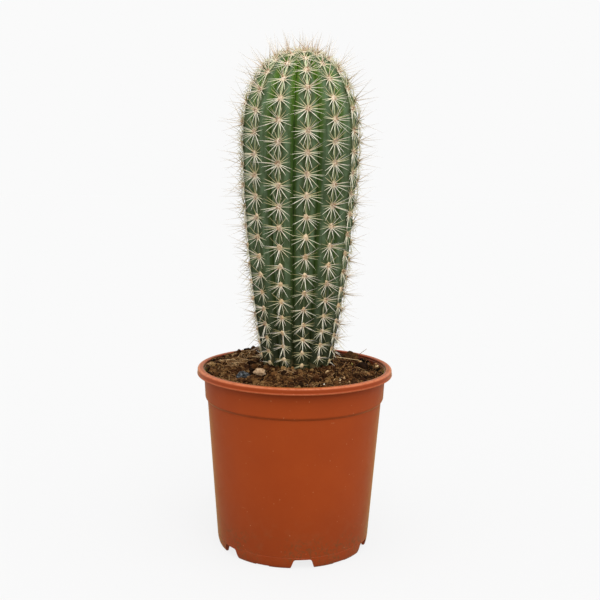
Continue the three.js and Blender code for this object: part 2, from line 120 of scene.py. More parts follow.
# Loose stones and clods: node, place, half sizes, turn in degrees, roughness of form, material slot.
LOOSE = (
    ("stone_grey", (-43.8, -30.4), (5.6, 4.2, 3.7), 24, 0.2, "grey_stone"),
    ("stone_tan", (-29.5, -31.0), (5.4, 4.1, 3.2), -12, 0.07, "tan_stone"),
    ("clod_dark", (60.0, 8.6), (6.0, 5.0, 4.2), 40, 0.15, "peat_soil"),
    ("clod_brown", (67.2, -6.0), (3.6, 3.0, 2.6), 75, 0.13, "peat_soil"),
    ("clod_back", (51.0, 45.0), (7.0, 5.5, 4.6), 10, 0.16, "peat_soil"),
)

# ---------------------------------------------------------------- vectors and meshes

UP_AXIS = np.array([0.0, 0.0, 1.0])


def outward(turn):
    turn = np.asarray(turn, float)
    return np.stack([np.sin(turn), -np.cos(turn), np.zeros_like(turn)], axis=-1)


def sideways(turn):
    turn = np.asarray(turn, float)
    return np.stack([np.cos(turn), np.sin(turn), np.zeros_like(turn)], axis=-1)


def turns_round(sides):
    return np.arange(sides) * 2 * np.pi / sides


def leaning(turn, lean):
    """Directions that point outward at a turn and rise from the level by a lean."""
    return outward(turn) * np.cos(lean)[:, None] + UP_AXIS * np.sin(lean)[:, None]


def unit(vectors):
    return vectors / np.maximum(np.linalg.norm(vectors, axis=-1, keepdims=True), 1e-9)


def smoothstep(value, low, high):
    share = np.clip((np.asarray(value, float) - low) / (high - low), 0, 1)
    return share * share * (3 - 2 * share)


def grid_faces(rows, columns):
    """Quads of a grid that closes on itself round its columns; rows run upwards."""
    row, column = np.meshgrid(np.arange(rows - 1), np.arange(columns), indexing="ij")
    following = (column + 1) % columns
    corners = [row * columns + column, row * columns + following]
    corners += [(row + 1) * columns + following, (row + 1) * columns + column]
    return np.stack(corners, axis=-1).reshape(-1, 4).tolist()


def pointed_stack(rows, columns):
    """Faces of a stack of rings, closed by one more corner below it and then one above it."""
    below = rows * columns
    top = below - columns
    faces = grid_faces(rows, columns)
    faces += [((i + 1) % columns, i, below) for i in range(columns)]
    return faces + [(top + i, top + (i + 1) % columns, below + 1) for i in range(columns)]


def repeated(faces, count, corners_each):
    """The faces of one piece for each of many equal pieces, whose corners follow one another."""
    starts = np.arange(count) * corners_each
    return (np.array(faces)[None] + starts[:, None, None]).reshape(-1, len(faces[0])).tolist()


def capped_stacks(count, rows, columns):
    """Faces of many equal stacks of rings with a flat face at both ends."""
    ring = np.arange(columns)
    faces = repeated(grid_faces(rows, columns), count, rows * columns)
    faces += repeated([ring[::-1]], count, rows * columns)
    return faces + repeated([ring + (rows - 1) * columns], count, rows * columns)


def tapered_tubes(paths, radii, sides):
    """Closed round tubes. Paths are (tube, step, xyz) and radii (tube, step)."""
    along = unit(np.gradient(paths, axis=1))
    upright = np.abs(along[:, :1, 2:]) > 0.8
    first = unit(np.cross(along, np.where(upright, np.array([1.0, 0.0, 0.0]), UP_AXIS)))
    second = np.cross(along, first)
    angles = turns_round(sides)
    rings = np.cos(angles)[:, None] * first[:, :, None] + np.sin(angles)[:, None] * second[:, :, None]
    corners = (paths[:, :, None] + radii[:, :, None, None] * rings).reshape(-1, 3)
    return corners, capped_stacks(*paths.shape[:2], sides)


def new_object(name, data):
    made = bpy.data.objects.new(name, data)
    bpy.context.scene.collection.objects.link(made)
    return made


def make_piece(name, corners, faces, numbers=None):
    """A mesh piece from corners in millimetres, with a number for each corner under each name."""
    mesh = bpy.data.meshes.new(name)
    mesh.from_pydata((np.asarray(corners) * MM).tolist(), [], faces)
    for key, values in (numbers or {}).items():
        layer = mesh.attributes.new(key, "FLOAT", "POINT")
        layer.data.foreach_set("value", np.asarray(values, np.float32).ravel())
    mesh.shade_smooth()
    return new_object(name, mesh)


def dress(piece, slot, material, *nodes):
    """Gives a piece its material and its body, and hides the nodes that it stands for; the slot is not used.
    """
    piece.data.materials.append(material)
    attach(piece, BODY)
    if nodes:
        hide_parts(*nodes)


# ---------------------------------------------------------------- node materials
# Colours are red, green and blue screen values. Sizes of patterns are in millimetres, and heights over
# the ground in metres. Where a material reads a mesh's own numbers, they run from 0 to 1.


def tint(red, green, blue):
    """A linear colour from screen values of 0 to 255."""
    shares = [channel / 255 for channel in (red, green, blue)]
    return [s / 12.92 if s <= 0.04045 else ((s + 0.055) / 1.055) ** 2.4 for s in shares] + [1.0]


class Shade:
    """One material and short calls that add nodes to it."""

    def __init__(self, name):
        self.material = bpy.data.materials.new(name)
        self.material.use_nodes = True
        self.tree = self.material.node_tree
        self.surface = self.tree.nodes["Principled BSDF"]
        self.places = self.tree.nodes.new("ShaderNodeTexCoord").outputs["Object"]

    def node(self, kind, **settings):
        added = self.tree.nodes.new(kind)
        for key, value in settings.items():
            setattr(added, key, value)
        return added

    def feed(self, socket, value):
        """Links a node's output to a socket, or sets the socket; a tuple is a colour in screen values."""
        if isinstance(value, bpy.types.NodeSocket):
            self.tree.links.new(value, socket)
        else:
            socket.default_value = tint(*value) if isinstance(value, tuple) else value

    def number(self, name):
        return self.node("ShaderNodeAttribute", attribute_name=name).outputs["Fac"]

    def noise(self, size, detail=3.0, roughness=0.55, stretch=None):
        """Cloudy noise whose features are about this large; a stretch under 1 draws them out."""
        texture = self.node("ShaderNodeTexNoise")
        places = self.places
        if stretch:
            mapping = self.node("ShaderNodeMapping")
            mapping.inputs["Scale"].default_value = stretch
            self.feed(mapping.inputs["Vector"], places)
            places = mapping.outputs["Vector"]
        self.feed(texture.inputs["Vector"], places)
        texture.inputs["Scale"].default_value = 1 / (size * MM)
        texture.inputs["Detail"].default_value = detail
        texture.inputs["Roughness"].default_value = roughness
        return texture.outputs["Fac"]

    def dots(self, size, inner, outer):
        """Round dots, one to each cell of this size; inner and outer are shares of it."""
        texture = self.node("ShaderNodeTexVoronoi")
        self.feed(texture.inputs["Vector"], self.places)
        texture.inputs["Scale"].default_value = 1 / (size * MM)
        return self.span(texture.outputs["Distance"], inner, outer, 1, 0)

    def height(self):
        split = self.node("ShaderNodeSeparateXYZ")
        self.feed(split.inputs["Vector"], self.places)
        return split.outputs["Z"]

    def span(self, value, low, high, low_out=0.0, high_out=1.0):
        """A value that runs smoothly from one number to another while the input crosses a range."""
        ranged = self.node("ShaderNodeMapRange", interpolation_type="SMOOTHSTEP")
        for name, number in zip(("Value", "From Min", "From Max", "To Min", "To Max"),
                                (value, low, high, low_out, high_out)):
            self.feed(ranged.inputs[name], number)
        return ranged.outputs["Result"]

    def clouds(self, size, detail, low, high, low_out=0.0, high_out=1.0, **form):
        """Cloudy noise taken over a range as in span."""
        return self.span(self.noise(size, detail, **form), low, high, low_out, high_out)

    def math(self, operation, first, second):
        step = self.node("ShaderNodeMath", operation=operation, use_clamp=operation == "MULTIPLY")
        self.feed(step.inputs[0], first)
        self.feed(step.inputs[1], second)
        return step.outputs["Value"]

    def times(self, product, *factors):
        for factor in factors:
            product = self.math("MULTIPLY", product, factor)
        return product

    def layers(self, colour, *coats):
        """A colour under coats of share and colour, the last one on top."""
        for share, coat in coats:
            blended = self.node("ShaderNodeMix", data_type="RGBA")
            self.feed(blended.inputs["Factor"], share)
            self.feed(blended.inputs["A"], colour)
            self.feed(blended.inputs["B"], coat)
            colour = blended.outputs["Result"]
        return colour

    def ramp(self, value, *stops):
        """A colour that runs through stops of place and colour."""
        ramp = self.node("ShaderNodeValToRGB")
        elements = ramp.color_ramp.elements
        while len(elements) < len(stops):
            elements.new(0.5)
        for element, (place, colour) in zip(elements, stops):
            element.position = place
            element.color = tint(*colour)
        self.feed(ramp.inputs["Fac"], value)
        return ramp.outputs["Color"]

    def bump(self, height, depth, strength):
        """Relief from a value, this many millimetres deep."""
        relief = self.node("ShaderNodeBump")
        relief.inputs["Strength"].default_value = strength
        relief.inputs["Distance"].default_value = depth * MM
        self.feed(relief.inputs["Height"], height)
        self.feed(self.surface.inputs["Normal"], relief.outputs["Normal"])

    def finish(self, colour, roughness, specular_ior_level):
        self.feed(self.surface.inputs["Base Color"], colour)
        self.feed(self.surface.inputs["Roughness"], roughness)
        self.surface.inputs["Specular IOR Level"].default_value = specular_ior_level
        return self.material


def pot_plastic():
    """Terracotta-coloured plastic: a faint velvet sheen, dust, grime and painted shade low down, painted
    shade on the rim with painted highlights on its edges, soil marks and painted shade inside.
    """
    shade = Shade("pot_plastic")
    height = shade.height()
    plain = shade.ramp(shade.noise(30, 4), (0.3, (139, 54, 11)), (0.55, (142, 56, 12)), (0.8, (145, 58, 13)))
    grain = shade.clouds(1.3, 3, 0.62, 0.8, 0, 0.16)
    dust = shade.times(shade.span(height, 0.0, 0.06, 1, 0.1), shade.clouds(7, 6, 0.45, 0.8), 0.22)
    shadow = shade.span(height, 0.0, 0.085, 0.34, 0)
    low = shade.span(height, 0.014, 0.036, 1, 0)
    grime = shade.times(low, shade.clouds(2.4, 5, 0.48, 0.62), shade.clouds(28, 2, 0.42, 0.56), 0.5)
    specks = shade.times(shade.dots(4.5, 0.06, 0.1), shade.clouds(16, 2, 0.46, 0.6), 0.45)
    scratches = shade.clouds(1.4, 2, 0.74, 0.82, 0, 0.3, roughness=0.5, stretch=(0.06, 0.06, 1))
    # Painted shade: the rim is kept darker than the wall.
    rim = shade.span(height, 0.1522, 0.154, 0, 0.3)
    # Soil marks and painted shade: the inside is darkened in patches.
    soil_marks_and_shade = shade.times(shade.number("inside"), shade.clouds(5, 4, 0.3, 0.7, 0.6, 0.95))
    # Painted highlights: lighter colour along the rim's top edge and the bead under its face.
    painted_highlight = shade.times(shade.number("edge"), shade.clouds(4, 4, 0.25, 0.6, 0.4, 1))
    colour = shade.layers(
        plain,
        (grain, (168, 84, 36)),
        (dust, (140, 92, 60)),
        (shadow, (96, 34, 8)),
        (grime, (84, 60, 30)),
        (specks, (206, 150, 112)),
        (scratches, (190, 128, 92)),
        (rim, (104, 36, 6)),
        (soil_marks_and_shade, (66, 20, 4)),
        (painted_highlight, (206, 132, 92)),
    )
    worn = shade.clouds(12, 5, 0.3, 0.75, 0, 0.1)
    roughness = shade.math("ADD", worn, shade.span(height, 0.15, 0.154, 0.5, 0.42))
    shade.surface.inputs["Sheen Weight"].default_value = 0.19
    shade.surface.inputs["Sheen Tint"].default_value = (1.0, 0.95, 0.25, 1.0)
    shade.surface.inputs["Sheen Roughness"].default_value = 0.3
    shade.bump(shade.noise(0.8), 0.04, 0.5)
    return shade.finish(colour, roughness, specular_ior_level=0.16)


def stem_skin():
    """Green skin: a blue-green bloom on the flanks, fresher up the stem, a pale line on each crest, and
    painted shade in creases, along the grooves' bottoms and low on the stem.
    """
    shade = Shade("cactus_skin")
    height = shade.number("height")
    groove = shade.number("groove")
    green = shade.ramp(shade.noise(9, 4), (0.3, (41, 53, 21)), (0.55, (51, 64, 29)), (0.8, (64, 77, 36)))
    flank = shade.times(shade.span(groove, 0.2, 0.46), shade.span(groove, 0.7, 0.84, 1, 0))
    streaks = shade.clouds(3.2, 4, 0.36, 0.62, 0.45, 1, stretch=(1, 1, 0.16))
    bloom = shade.times(flank, shade.clouds(7, 5, 0.3, 0.66, 0.35, 1), streaks)
    beside_groove = shade.times(shade.span(groove, 0.72, 0.86), shade.clouds(22, 3, 0.3, 0.6, 0.45, 1))
    strip = shade.times(beside_groove, shade.span(height, 0.4, 0.8, 0.45, 1))
    fresh = shade.times(shade.span(height, 0.6, 0.92, 0, 0.85), shade.span(groove, 0.5, 0.74, 0.12, 1))
    # Painted shade: dark streaks down the flanks, as in creases.
    crease_noise = shade.clouds(2.4, 3, 0.3, 0.42, 0.4, 0, roughness=0.5, stretch=(1, 1, 0.1))
    painted_crease_shade = shade.times(crease_noise, shade.span(groove, 0.3, 0.7))
    line = shade.times(shade.number("crest"), shade.clouds(3.5, 4, 0.25, 0.6, 0.55, 1))
    line = shade.times(line, shade.span(height, 0.3, 0.85, 0.25, 1))
    flecks = shade.times(shade.dots(1.1, 0.1, 0.2), 0.2)
    cork = shade.times(shade.span(height, 0.0, 0.05, 1, 0), shade.clouds(3.4, 5, 0.5, 0.62), 0.6)
    colour = shade.layers(
        green,
        (bloom, shade.ramp(height, (0.5, (82, 101, 72)), (0.95, (92, 116, 84)))),
        (strip, (65, 94, 36)),
        (fresh, (80, 112, 26)),
        (painted_crease_shade, (32, 47, 14)),
        # Painted shade along the bottom of each groove.
        (shade.span(groove, 0.955, 0.99, 0, 0.7), (28, 40, 11)),
        (line, shade.ramp(height, (0.3, (136, 150, 106)), (0.95, (194, 201, 162)))),
        (flecks, (96, 114, 76)),
        # Painted shade: darker low on the stem.
        (shade.span(height, 0.0, 0.38, 0.88, 0), (28, 31, 12)),
        (cork, (100, 84, 54)),
    )
    shade.bump(shade.noise(0.8, 4), 0.12, 0.6)
    return shade.finish(colour, shade.clouds(4, 4, 0.3, 0.7, 0.44, 0.6), specular_ior_level=0.22)


def spine_horn():
    """Horn: tone runs from olive to cream, needle marks thin spines and fresh marks young ones."""
    shade = Shade("spine_horn")
    along = shade.number("along")
    tone = shade.number("tone")
    stout = shade.ramp(
        tone, (0.0, (142, 129, 82)), (0.35, (180, 171, 127)), (0.65, (199, 194, 160)), (1.0, (222, 218, 199))
    )
    thin = shade.ramp(
        along, (0.06, (166, 128, 98)), (0.14, (206, 189, 168)), (0.6, (211, 202, 188)), (1.0, (194, 183, 168))
    )
    young = shade.ramp(
        along, (0.0, (206, 168, 138)), (0.25, (150, 104, 78)), (0.5, (200, 179, 158)), (1.0, (208, 200, 188))
    )
    tips = shade.times(shade.span(along, 0.6, 0.95), shade.span(tone, 0.1, 0.6, 1, 0), 0.3)
    grain = shade.noise(0.6)
    colour = shade.layers(
        stout,
        (tips, (184, 140, 84)),
        (shade.span(along, 0.0, 0.25, 0.45, 0), (214, 190, 152)),
        (shade.number("needle"), thin),
        (shade.number("fresh"), young),
        (shade.span(grain, 0.45, 0.8, 0, 0.2), (150, 132, 96)),
    )
    return shade.finish(colour, shade.span(grain, 0.3, 0.7, 0.38, 0.55), specular_ior_level=0.3)


def areole_felt():
    """Felt of the pads and their hairs, browner low on the stem."""
    shade = Shade("areole_felt")
    tone = shade.number("tone")
    old = shade.ramp(tone, (0.0, (152, 122, 80)), (0.5, (204, 178, 138)), (1.0, (228, 210, 178)))
    young = shade.ramp(tone, (0.0, (176, 150, 122)), (0.5, (210, 190, 164)), (1.0, (230, 218, 200)))
    colour = shade.layers(
        old,
        (shade.span(shade.number("height"), 0.2, 0.6), young),
        (shade.clouds(0.5, 4, 0.5, 0.75, 0, 0.45), (146, 110, 80)),
    )
    shade.bump(shade.noise(0.25), 0.15, 0.9)
    return shade.finish(colour, shade.clouds(0.7, 2, 0.3, 0.7, 0.85, 0.98), specular_ior_level=0.1)


def peat():
    """Damp peat: tone runs from near black to tan, and warmth adds red-brown."""
    shade = Shade("peat_soil")
    grain = shade.noise(1.0, 6, 0.65)
    tone = shade.math("ADD", shade.times(shade.number("tone"), 0.75), shade.times(grain, 0.38))
    dark, brown = (0.22, (8, 4, 2)), (0.42, (34, 20, 8))
    light, tan = (0.58, (76, 51, 26)), (0.97, (126, 97, 60))
    colour = shade.layers(
        shade.ramp(tone, dark, brown, light, tan),
        (shade.times(shade.number("warmth"), 0.36), (86, 50, 24)),
        (shade.clouds(6, 4, 0.55, 0.72, 0, 0.35), (44, 27, 14)),
    )
    shade.bump(shade.noise(0.5, 6, 0.7), 0.4, 0.9)
    return shade.finish(colour, shade.span(grain, 0.3, 0.7, 0.82, 0.97), specular_ior_level=0.05)


def plant_scrap():
    """Dry fibres, bark and sticks, from dark brown to straw."""
    shade = Shade("plant_fibre")
    tone = shade.number("tone")
    plain = shade.ramp(tone, (0.0, (60, 36, 16)), (0.5, (118, 82, 44)), (1.0, (214, 184, 138)))
    colour = shade.layers(plain, (shade.clouds(0.9, 4, 0.4, 0.7, 0, 0.5), (92, 60, 32)))
    shade.bump(shade.noise(0.4, 4), 0.08, 0.8)
    return shade.finish(colour, shade.clouds(0.8, 2, 0.3, 0.7, 0.7, 0.9), specular_ior_level=0.15)


def stone(name, dark, middle, light, size):
    """A mottled stone with light flecks, nearly black where its tone is low."""
    shade = Shade(name)
    mottled = shade.ramp(shade.noise(size, 6, 0.6), (0.3, dark), (0.52, middle), (0.75, light))
    colour = shade.layers(
        mottled,
        (shade.clouds(size / 6, 3, 0.6, 0.7, 0, 0.45), light),
        (shade.span(shade.number("tone"), 0.1, 0.5, 0.9, 0), (8, 9, 10)),
    )
    shade.bump(shade.noise(size / 5, 6, 0.65), 0.25, 0.8)
    return shade.finish(colour, shade.clouds(size / 3, 3, 0.3, 0.7, 0.6, 0.85), specular_ior_level=0.12)


def bright_bits(name, dark, light):
    """A rough mineral or moss surface between two colours."""
    shade = Shade(name)
    colour = shade.ramp(shade.noise(1.1, 5, 0.6), (0.35, dark), (0.62, light))
    shade.bump(shade.noise(0.4, 5, 0.7), 0.2, 0.9)
    return shade.finish(colour, shade.clouds(0.7, 3, 0.3, 0.7, 0.75, 0.95), specular_ior_level=0.15)


def pale_floor(brightness, glow):
    """A white surface that gives off some light of its own, so that shadows on it stay faint."""
    shade = Shade("pale_floor")
    shade.surface.inputs["Emission Color"].default_value = (1.0, 1.0, 1.0, 1.0)
    shade.surface.inputs["Emission Strength"].default_value = glow
    return shade.finish([brightness, brightness, brightness, 1.0], 0.9, specular_ior_level=0.0)


# ---------------------------------------------------------------- camera, light and floor

CAMERA_PLACE = (3.78, -780.0, 330.27)
CAMERA_PITCH = 0.1452
CAMERA_ROLL = 0.0139
CAMERA_LENS = 54.5
SENSOR = 36.0
ROOM_LIGHT = 0.956
LOW_LIGHT = 0.4
LOW_FROM = -0.06  # upward parts of a unit direction, between which the room gets darker
LOW_TO = -0.3
FLOOR_GLOW = 0.85
FLOOR_RADIUS = 9.0  # metres

# Far lights: name, direction that they come from, strength and size in degrees.
LIGHTS = (
    ("key_light", (0.15, -0.9, 1.0), 1.48, 40),
    ("right_light", (0.95, -0.45, 0.5), 1.05, 60),
    ("left_light", (-0.95, -0.4, 0.5), 0.84, 60),
    ("top_light", (0.05, -0.15, 1.0), 1.2, 50),
)


def add_camera():
    data = bpy.data.cameras.new("camera")
    data.lens = CAMERA_LENS
    data.sensor_width = SENSOR
    data.clip_start = 0.02
    camera = new_object("camera", data)
    tilt = Matrix.Rotation(math.pi / 2 - CAMERA_PITCH, 4, "X")
    roll = Matrix.Rotation(CAMERA_ROLL, 4, "Z")
    camera.matrix_world = Matrix.Translation(Vector(CAMERA_PLACE) * MM) @ tilt @ roll
    bpy.context.scene.camera = camera


def add_light(name, place, energy, softness):
    """A far soft light, with its size as an angle in degrees."""
    data = bpy.data.lights.new(name, "SUN")
    data.energy = energy
    data.angle = math.radians(softness)
    light = new_object(name, data)
    light.location = place
    light.rotation_euler = Vector(place).to_track_quat("Z", "Y").to_euler()


def add_room():
    """Even white light from all sides, and weaker light from under the horizon."""
    world = bpy.data.worlds.new("studio")
    world.use_nodes = True
    tree = world.node_tree
    background = tree.nodes["Background"]
    background.inputs["Color"].default_value = (1.0, 1.0, 1.0, 1.0)
    directions = tree.nodes.new("ShaderNodeTexCoord").outputs["Generated"]
    split = tree.nodes.new("ShaderNodeSeparateXYZ")
    strength = tree.nodes.new("ShaderNodeMapRange")
    limits = {"From Min": LOW_TO, "From Max": LOW_FROM, "To Min": LOW_LIGHT, "To Max": ROOM_LIGHT}
    for name, value in limits.items():
        strength.inputs[name].default_value = value
    tree.links.new(directions, split.inputs["Vector"])
    tree.links.new(split.outputs["Z"], strength.inputs["Value"])
    tree.links.new(strength.outputs["Result"], background.inputs["Strength"])
    bpy.context.scene.world = world


def add_studio():
    """The room, the far lights, and a floor that is just as bright as the room and lights nothing."""
    add_room()
    bpy.context.scene.view_settings.view_transform = "Standard"
    floor_light = ROOM_LIGHT
    for name, place, energy, softness in LIGHTS:
        add_light(name, place, energy, softness)
        floor_light += energy * Vector(place).normalized().z / math.pi
    mesh = bpy.data.meshes.new("floor")
    shape = bmesh.new()
    bmesh.ops.create_circle(shape, cap_ends=True, segments=96, radius=FLOOR_RADIUS)
    shape.to_mesh(mesh)
    shape.free()
    floor = new_object("floor", mesh)
    glow = FLOOR_GLOW * ROOM_LIGHT
    mesh.materials.append(pale_floor((ROOM_LIGHT - glow) / floor_light, glow))
    floor.visible_diffuse = False
    floor.visible_glossy = False


# ---------------------------------------------------------------- pot

POT_SIDES = 256
CURVE_STEPS = 6
SHARP_ANGLE = math.radians(38)
# Shares of painted highlight on the rim's top edge and on the bead under its face.
RIM_HIGHLIGHT = 0.38
BEAD_HIGHLIGHT = 0.2


def curve(start, control, end, steps=CURVE_STEPS):
    """Points of a quadratic curve."""
    t = np.linspace(0, 1, steps)[:, None]
    return (1 - t) ** 2 * np.array(start) + 2 * t * (1 - t) * np.array(control) + t * t * np.array(end)


def rounded_outline(points):
    """An outline through (across, up, rounding) points, with each corner turned by a curve."""
    outline = []
    for i, (across, up, rounding) in enumerate(points):
        corner = np.array([across, up], float)
        if rounding == 0:
            outline.append(corner[None])
            continue
        before = np.array(points[i - 1][:2], float)
        after = np.array(points[i + 1][:2], float)
        start = corner + unit(before - corner) * rounding
        end = corner + unit(after - corner) * rounding
        outline.append(curve(start, corner, end))
    return np.vstack(outline)


def pot_outline():
    """The pot's section: from the axis under the floor, out and up the outside, and down the inside."""
    under = rounded_outline((
        (0, FLOOR_UNDERSIDE, 0),
        (SKIRT_TOP_RADIUS - 3 * WALL, FLOOR_UNDERSIDE, 1.2),
        (FOOT_RADIUS - WALL, 0, 0.3),
        (FOOT_RADIUS - 0.3, 0, 0),
    ))
    skirt = curve((FOOT_RADIUS, 0.05), (SKIRT_TOP_RADIUS - 0.6, 0.6), (SKIRT_TOP_RADIUS, SKIRT_TOP - 0.5), 14)
    above = rounded_outline((
        (SKIRT_TOP_RADIUS + 0.02, SKIRT_TOP - 0.3, 0),
        (SKIRT_TOP_RADIUS - 0.22, SKIRT_TOP, 0.1),
        (SKIRT_TOP_RADIUS + 0.05, SKIRT_TOP + 0.3, 0.1),
        (WALL_TOP_RADIUS, WALL_TOP, 0.25),
        (WALL_TOP_RADIUS + 0.35, WALL_TOP + 0.3, 0.15),
        (COLLAR_FOOT_RADIUS - 0.1, WALL_TOP + 2.1, 1.0),
        (COLLAR_TOP_RADIUS, RIM_UNDERSIDE, 0.5),
        (RIM_RADIUS, RIM_UNDERSIDE, 0.5),
        (RIM_RADIUS, RIM_UNDERSIDE + 1.1, 0.3),
        (RIM_RADIUS - 0.35, RIM_UNDERSIDE + 1.5, 0.2),
        (RIM_RADIUS - 0.35, RIM_UNDERSIDE + 2.0, 0),
        (RIM_RADIUS - 0.2, RIM_TOP, 2.3),
        (LIP_RADIUS, RIM_TOP, 1.2),
        (LIP_RADIUS - 0.2, LEDGE_HEIGHT, 0.3),
        (COLLAR_TOP_RADIUS - 0.6, LEDGE_HEIGHT, 0.3),
        (COLLAR_TOP_RADIUS - WALL, RIM_UNDERSIDE, 0.8),
        (COLLAR_FOOT_RADIUS - WALL, COLLAR_FOOT, 1.5),
        (WALL_TOP_RADIUS - WALL, WALL_TOP, 1.5),
        (SKIRT_TOP_RADIUS - WALL, FLOOR_UNDERSIDE + WALL, 1.0),
        (0, FLOOR_UNDERSIDE + WALL, 0),
    ))
    return np.vstack([under, skirt, above])


def pot_mesh():
    """The pot without its cuts, with numbers for its inside, which gets soil marks and painted shade, and for
    the painted highlights on its rim's edges.
    """
    outline = pot_outline()
    inner = outline[1:-1]
    across, up = inner.T
    rings = outward(turns_round(POT_SIDES))[None] * across[:, None, None] + UP_AXIS * up[:, None, None]
    corners = np.vstack([rings.reshape(-1, 3), [[0, 0, outline[0][1]]], [[0, 0, outline[-1][1]]]])
    row = np.arange(len(inner))
    top_row = int(np.argmax(up))
    # The inside gets soil marks and painted shade.
    inside = 1.0 * ((row > top_row) & (across < LIP_RADIUS + 0.05))
    # Painted highlights on the rim's top edge and on the bead under its face.
    at_rim_highlight = (up > RIM_TOP - 1.2) & (row < top_row)
    at_bead_highlight = (across > RIM_RADIUS - 0.1) & (up < RIM_UNDERSIDE + 1.3)
    edge = RIM_HIGHLIGHT * at_rim_highlight + BEAD_HIGHLIGHT * at_bead_highlight
    numbers = {"inside": np.append(np.repeat(inside, POT_SIDES), [0, 1]),
               "edge": np.append(np.repeat(edge, POT_SIDES), [0, 0])}
    return make_piece("pot_body", corners, pointed_stack(len(inner), POT_SIDES), numbers)


def notch_outline(top_width, foot_width, height, rounding):
    """A notch cut up from the ground, with sloped sides and rounded upper corners."""
    half_top = top_width / 2
    half_foot = foot_width / 2
    below = 1.0
    low = half_foot + (half_foot - half_top) / height * below
    return rounded_outline((
        (low, -below, 0),
        (half_top, height, rounding),
        (-half_top, height, rounding),
        (-low, -below, 0),
    ))


def cutter(outline, start, depth, turn):
    """A prism that runs out from the pot's axis, with an outline across by up."""
    corners = []
    for reach in (start, start + depth):
        corners += [outward(turn) * reach + sideways(turn) * x + UP_AXIS * z for x, z in outline]
    count = len(outline)
    faces = [tuple(range(count))[::-1], tuple(range(count, 2 * count))]
    faces += [(i, (i + 1) % count, (i + 1) % count + count, i + count) for i in range(count)]
    prism = make_piece("cutter", corners, faces)
    shape = bmesh.new()
    shape.from_mesh(prism.data)
    bmesh.ops.recalc_face_normals(shape, faces=shape.faces)
    shape.to_mesh(prism.data)
    shape.free()
    return prism


def drain_cutter():
    shape = bmesh.new()
    radius = DRAIN_RADIUS * MM
    place = Matrix.Translation((0, 0, (FLOOR_UNDERSIDE + WALL / 2) * MM))
    bmesh.ops.create_cone(
        shape, cap_ends=True, segments=48, radius1=radius, radius2=radius, depth=4 * MM, matrix=place
    )
    drain = make_piece("drain_cutter", [(0, 0, 0)], [])
    shape.to_mesh(drain.data)
    shape.free()
    return drain


def pot_cutters():
    """Notches with drain slots above them, the recesses between them, and the drain in the middle."""
    start = FOOT_RADIUS - 8
    depth = RIM_RADIUS - start
    notch = notch_outline(NOTCH_TOP_WIDTH, NOTCH_FOOT_WIDTH, NOTCH_HEIGHT, 1.8)
    recess = notch_outline(RECESS_TOP_WIDTH, RECESS_FOOT_WIDTH, RECESS_HEIGHT, 0.4)
    half_slot = SLOT_WIDTH / 2
    low, high = FLOOR_UNDERSIDE - 1, FLOOR_UNDERSIDE + WALL + 1
    slot = ((half_slot, low), (half_slot, high), (-half_slot, high), (-half_slot, low))
    cutters = []
    for i in range(NOTCH_COUNT):
        turn = math.radians(NOTCH_TURN + 360 / NOTCH_COUNT * i)
        cutters.append(cutter(notch, start, depth, turn))
        cutters.append(cutter(recess, start, depth, turn + math.pi / NOTCH_COUNT))
        cutters.append(cutter(slot, SLOT_RADIUS - SLOT_LENGTH / 2, SLOT_LENGTH, turn))
    return cutters + [drain_cutter()]


def cut_away(piece, cutters):
    """Cuts all the cutters out of a piece and removes them."""
    group = bpy.data.collections.new("cutters")
    bpy.context.scene.collection.children.link(group)
    for tool in cutters:
        bpy.context.scene.collection.objects.unlink(tool)
        group.objects.link(tool)
    cut = piece.modifiers.new("cut", "BOOLEAN")
    cut.operation = "DIFFERENCE"
    cut.solver = "EXACT"
    cut.operand_type = "COLLECTION"
    cut.collection = group
    evaluated = piece.evaluated_get(bpy.context.evaluated_depsgraph_get())
    result = bpy.data.meshes.new_from_object(evaluated)
    piece.modifiers.clear()
    piece.data = result
    for tool in cutters:
        bpy.data.objects.remove(tool)
    bpy.data.collections.remove(group)


def make_pot():
    pot = pot_mesh()
    cut_away(pot, pot_cutters())
    pot.data.shade_smooth()
    pot.data.set_sharp_from_angle(angle=SHARP_ANGLE)
    dress(pot, "pot_plastic", pot_plastic(), "pot")


# ---------------------------------------------------------------- stem outline and areoles


def taper_radius(z):
    return SHOULDER_RADIUS - FOOT_TAPER * ((SHOULDER - z) / TAPER_LENGTH) ** TAPER_POWER


def outline_table(steps=400):
    """Arc length, radius and height at close steps up the stem."""
    taper = np.linspace(OUTLINE_FOOT, SHOULDER, steps)[:-1]
    angles = np.linspace(0, math.pi / 2, steps)
    share = 2 / DOME_POWER
    dome_radius = SHOULDER_RADIUS * np.maximum(0, np.cos(angles)) ** share
    dome_height = SHOULDER + (APEX - SHOULDER) * np.sin(angles) ** share
    radius = np.concatenate([taper_radius(taper), dome_radius])
    height = np.concatenate([taper, dome_height])
    arc = np.concatenate([[0], np.cumsum(np.hypot(np.diff(radius), np.diff(height)))])
    return arc, radius, height


ARC, ARC_RADIUS, ARC_HEIGHT = outline_table()
OUTLINE_LENGTH = ARC[-1]
BARE_APEX = 8.0  # length of the outline under the apex that carries no areole


def areole_spacing(arc):
    """The spacing opens from the foot to the middle of the stem and closes towards the crown."""
    share = arc / OUTLINE_LENGTH
    opening = math.sin(math.pi / 2 * min(1, share / MIDDLE_FROM))
    closing = float(smoothstep(share, MIDDLE_TO, 1))
    opened = FOOT_SPACING + (MIDDLE_SPACING - FOOT_SPACING) * opening
    return opened - (MIDDLE_SPACING - CROWN_SPACING) * closing


def row_arcs():
    """Arc lengths of the rows of areoles, half a spacing apart, up to the crown."""
    arcs = [FIRST_ARC]
    while arcs[-1] < OUTLINE_LENGTH:
        arcs.append(arcs[-1] + areole_spacing(arcs[-1]) / 2)
    return np.array(arcs)


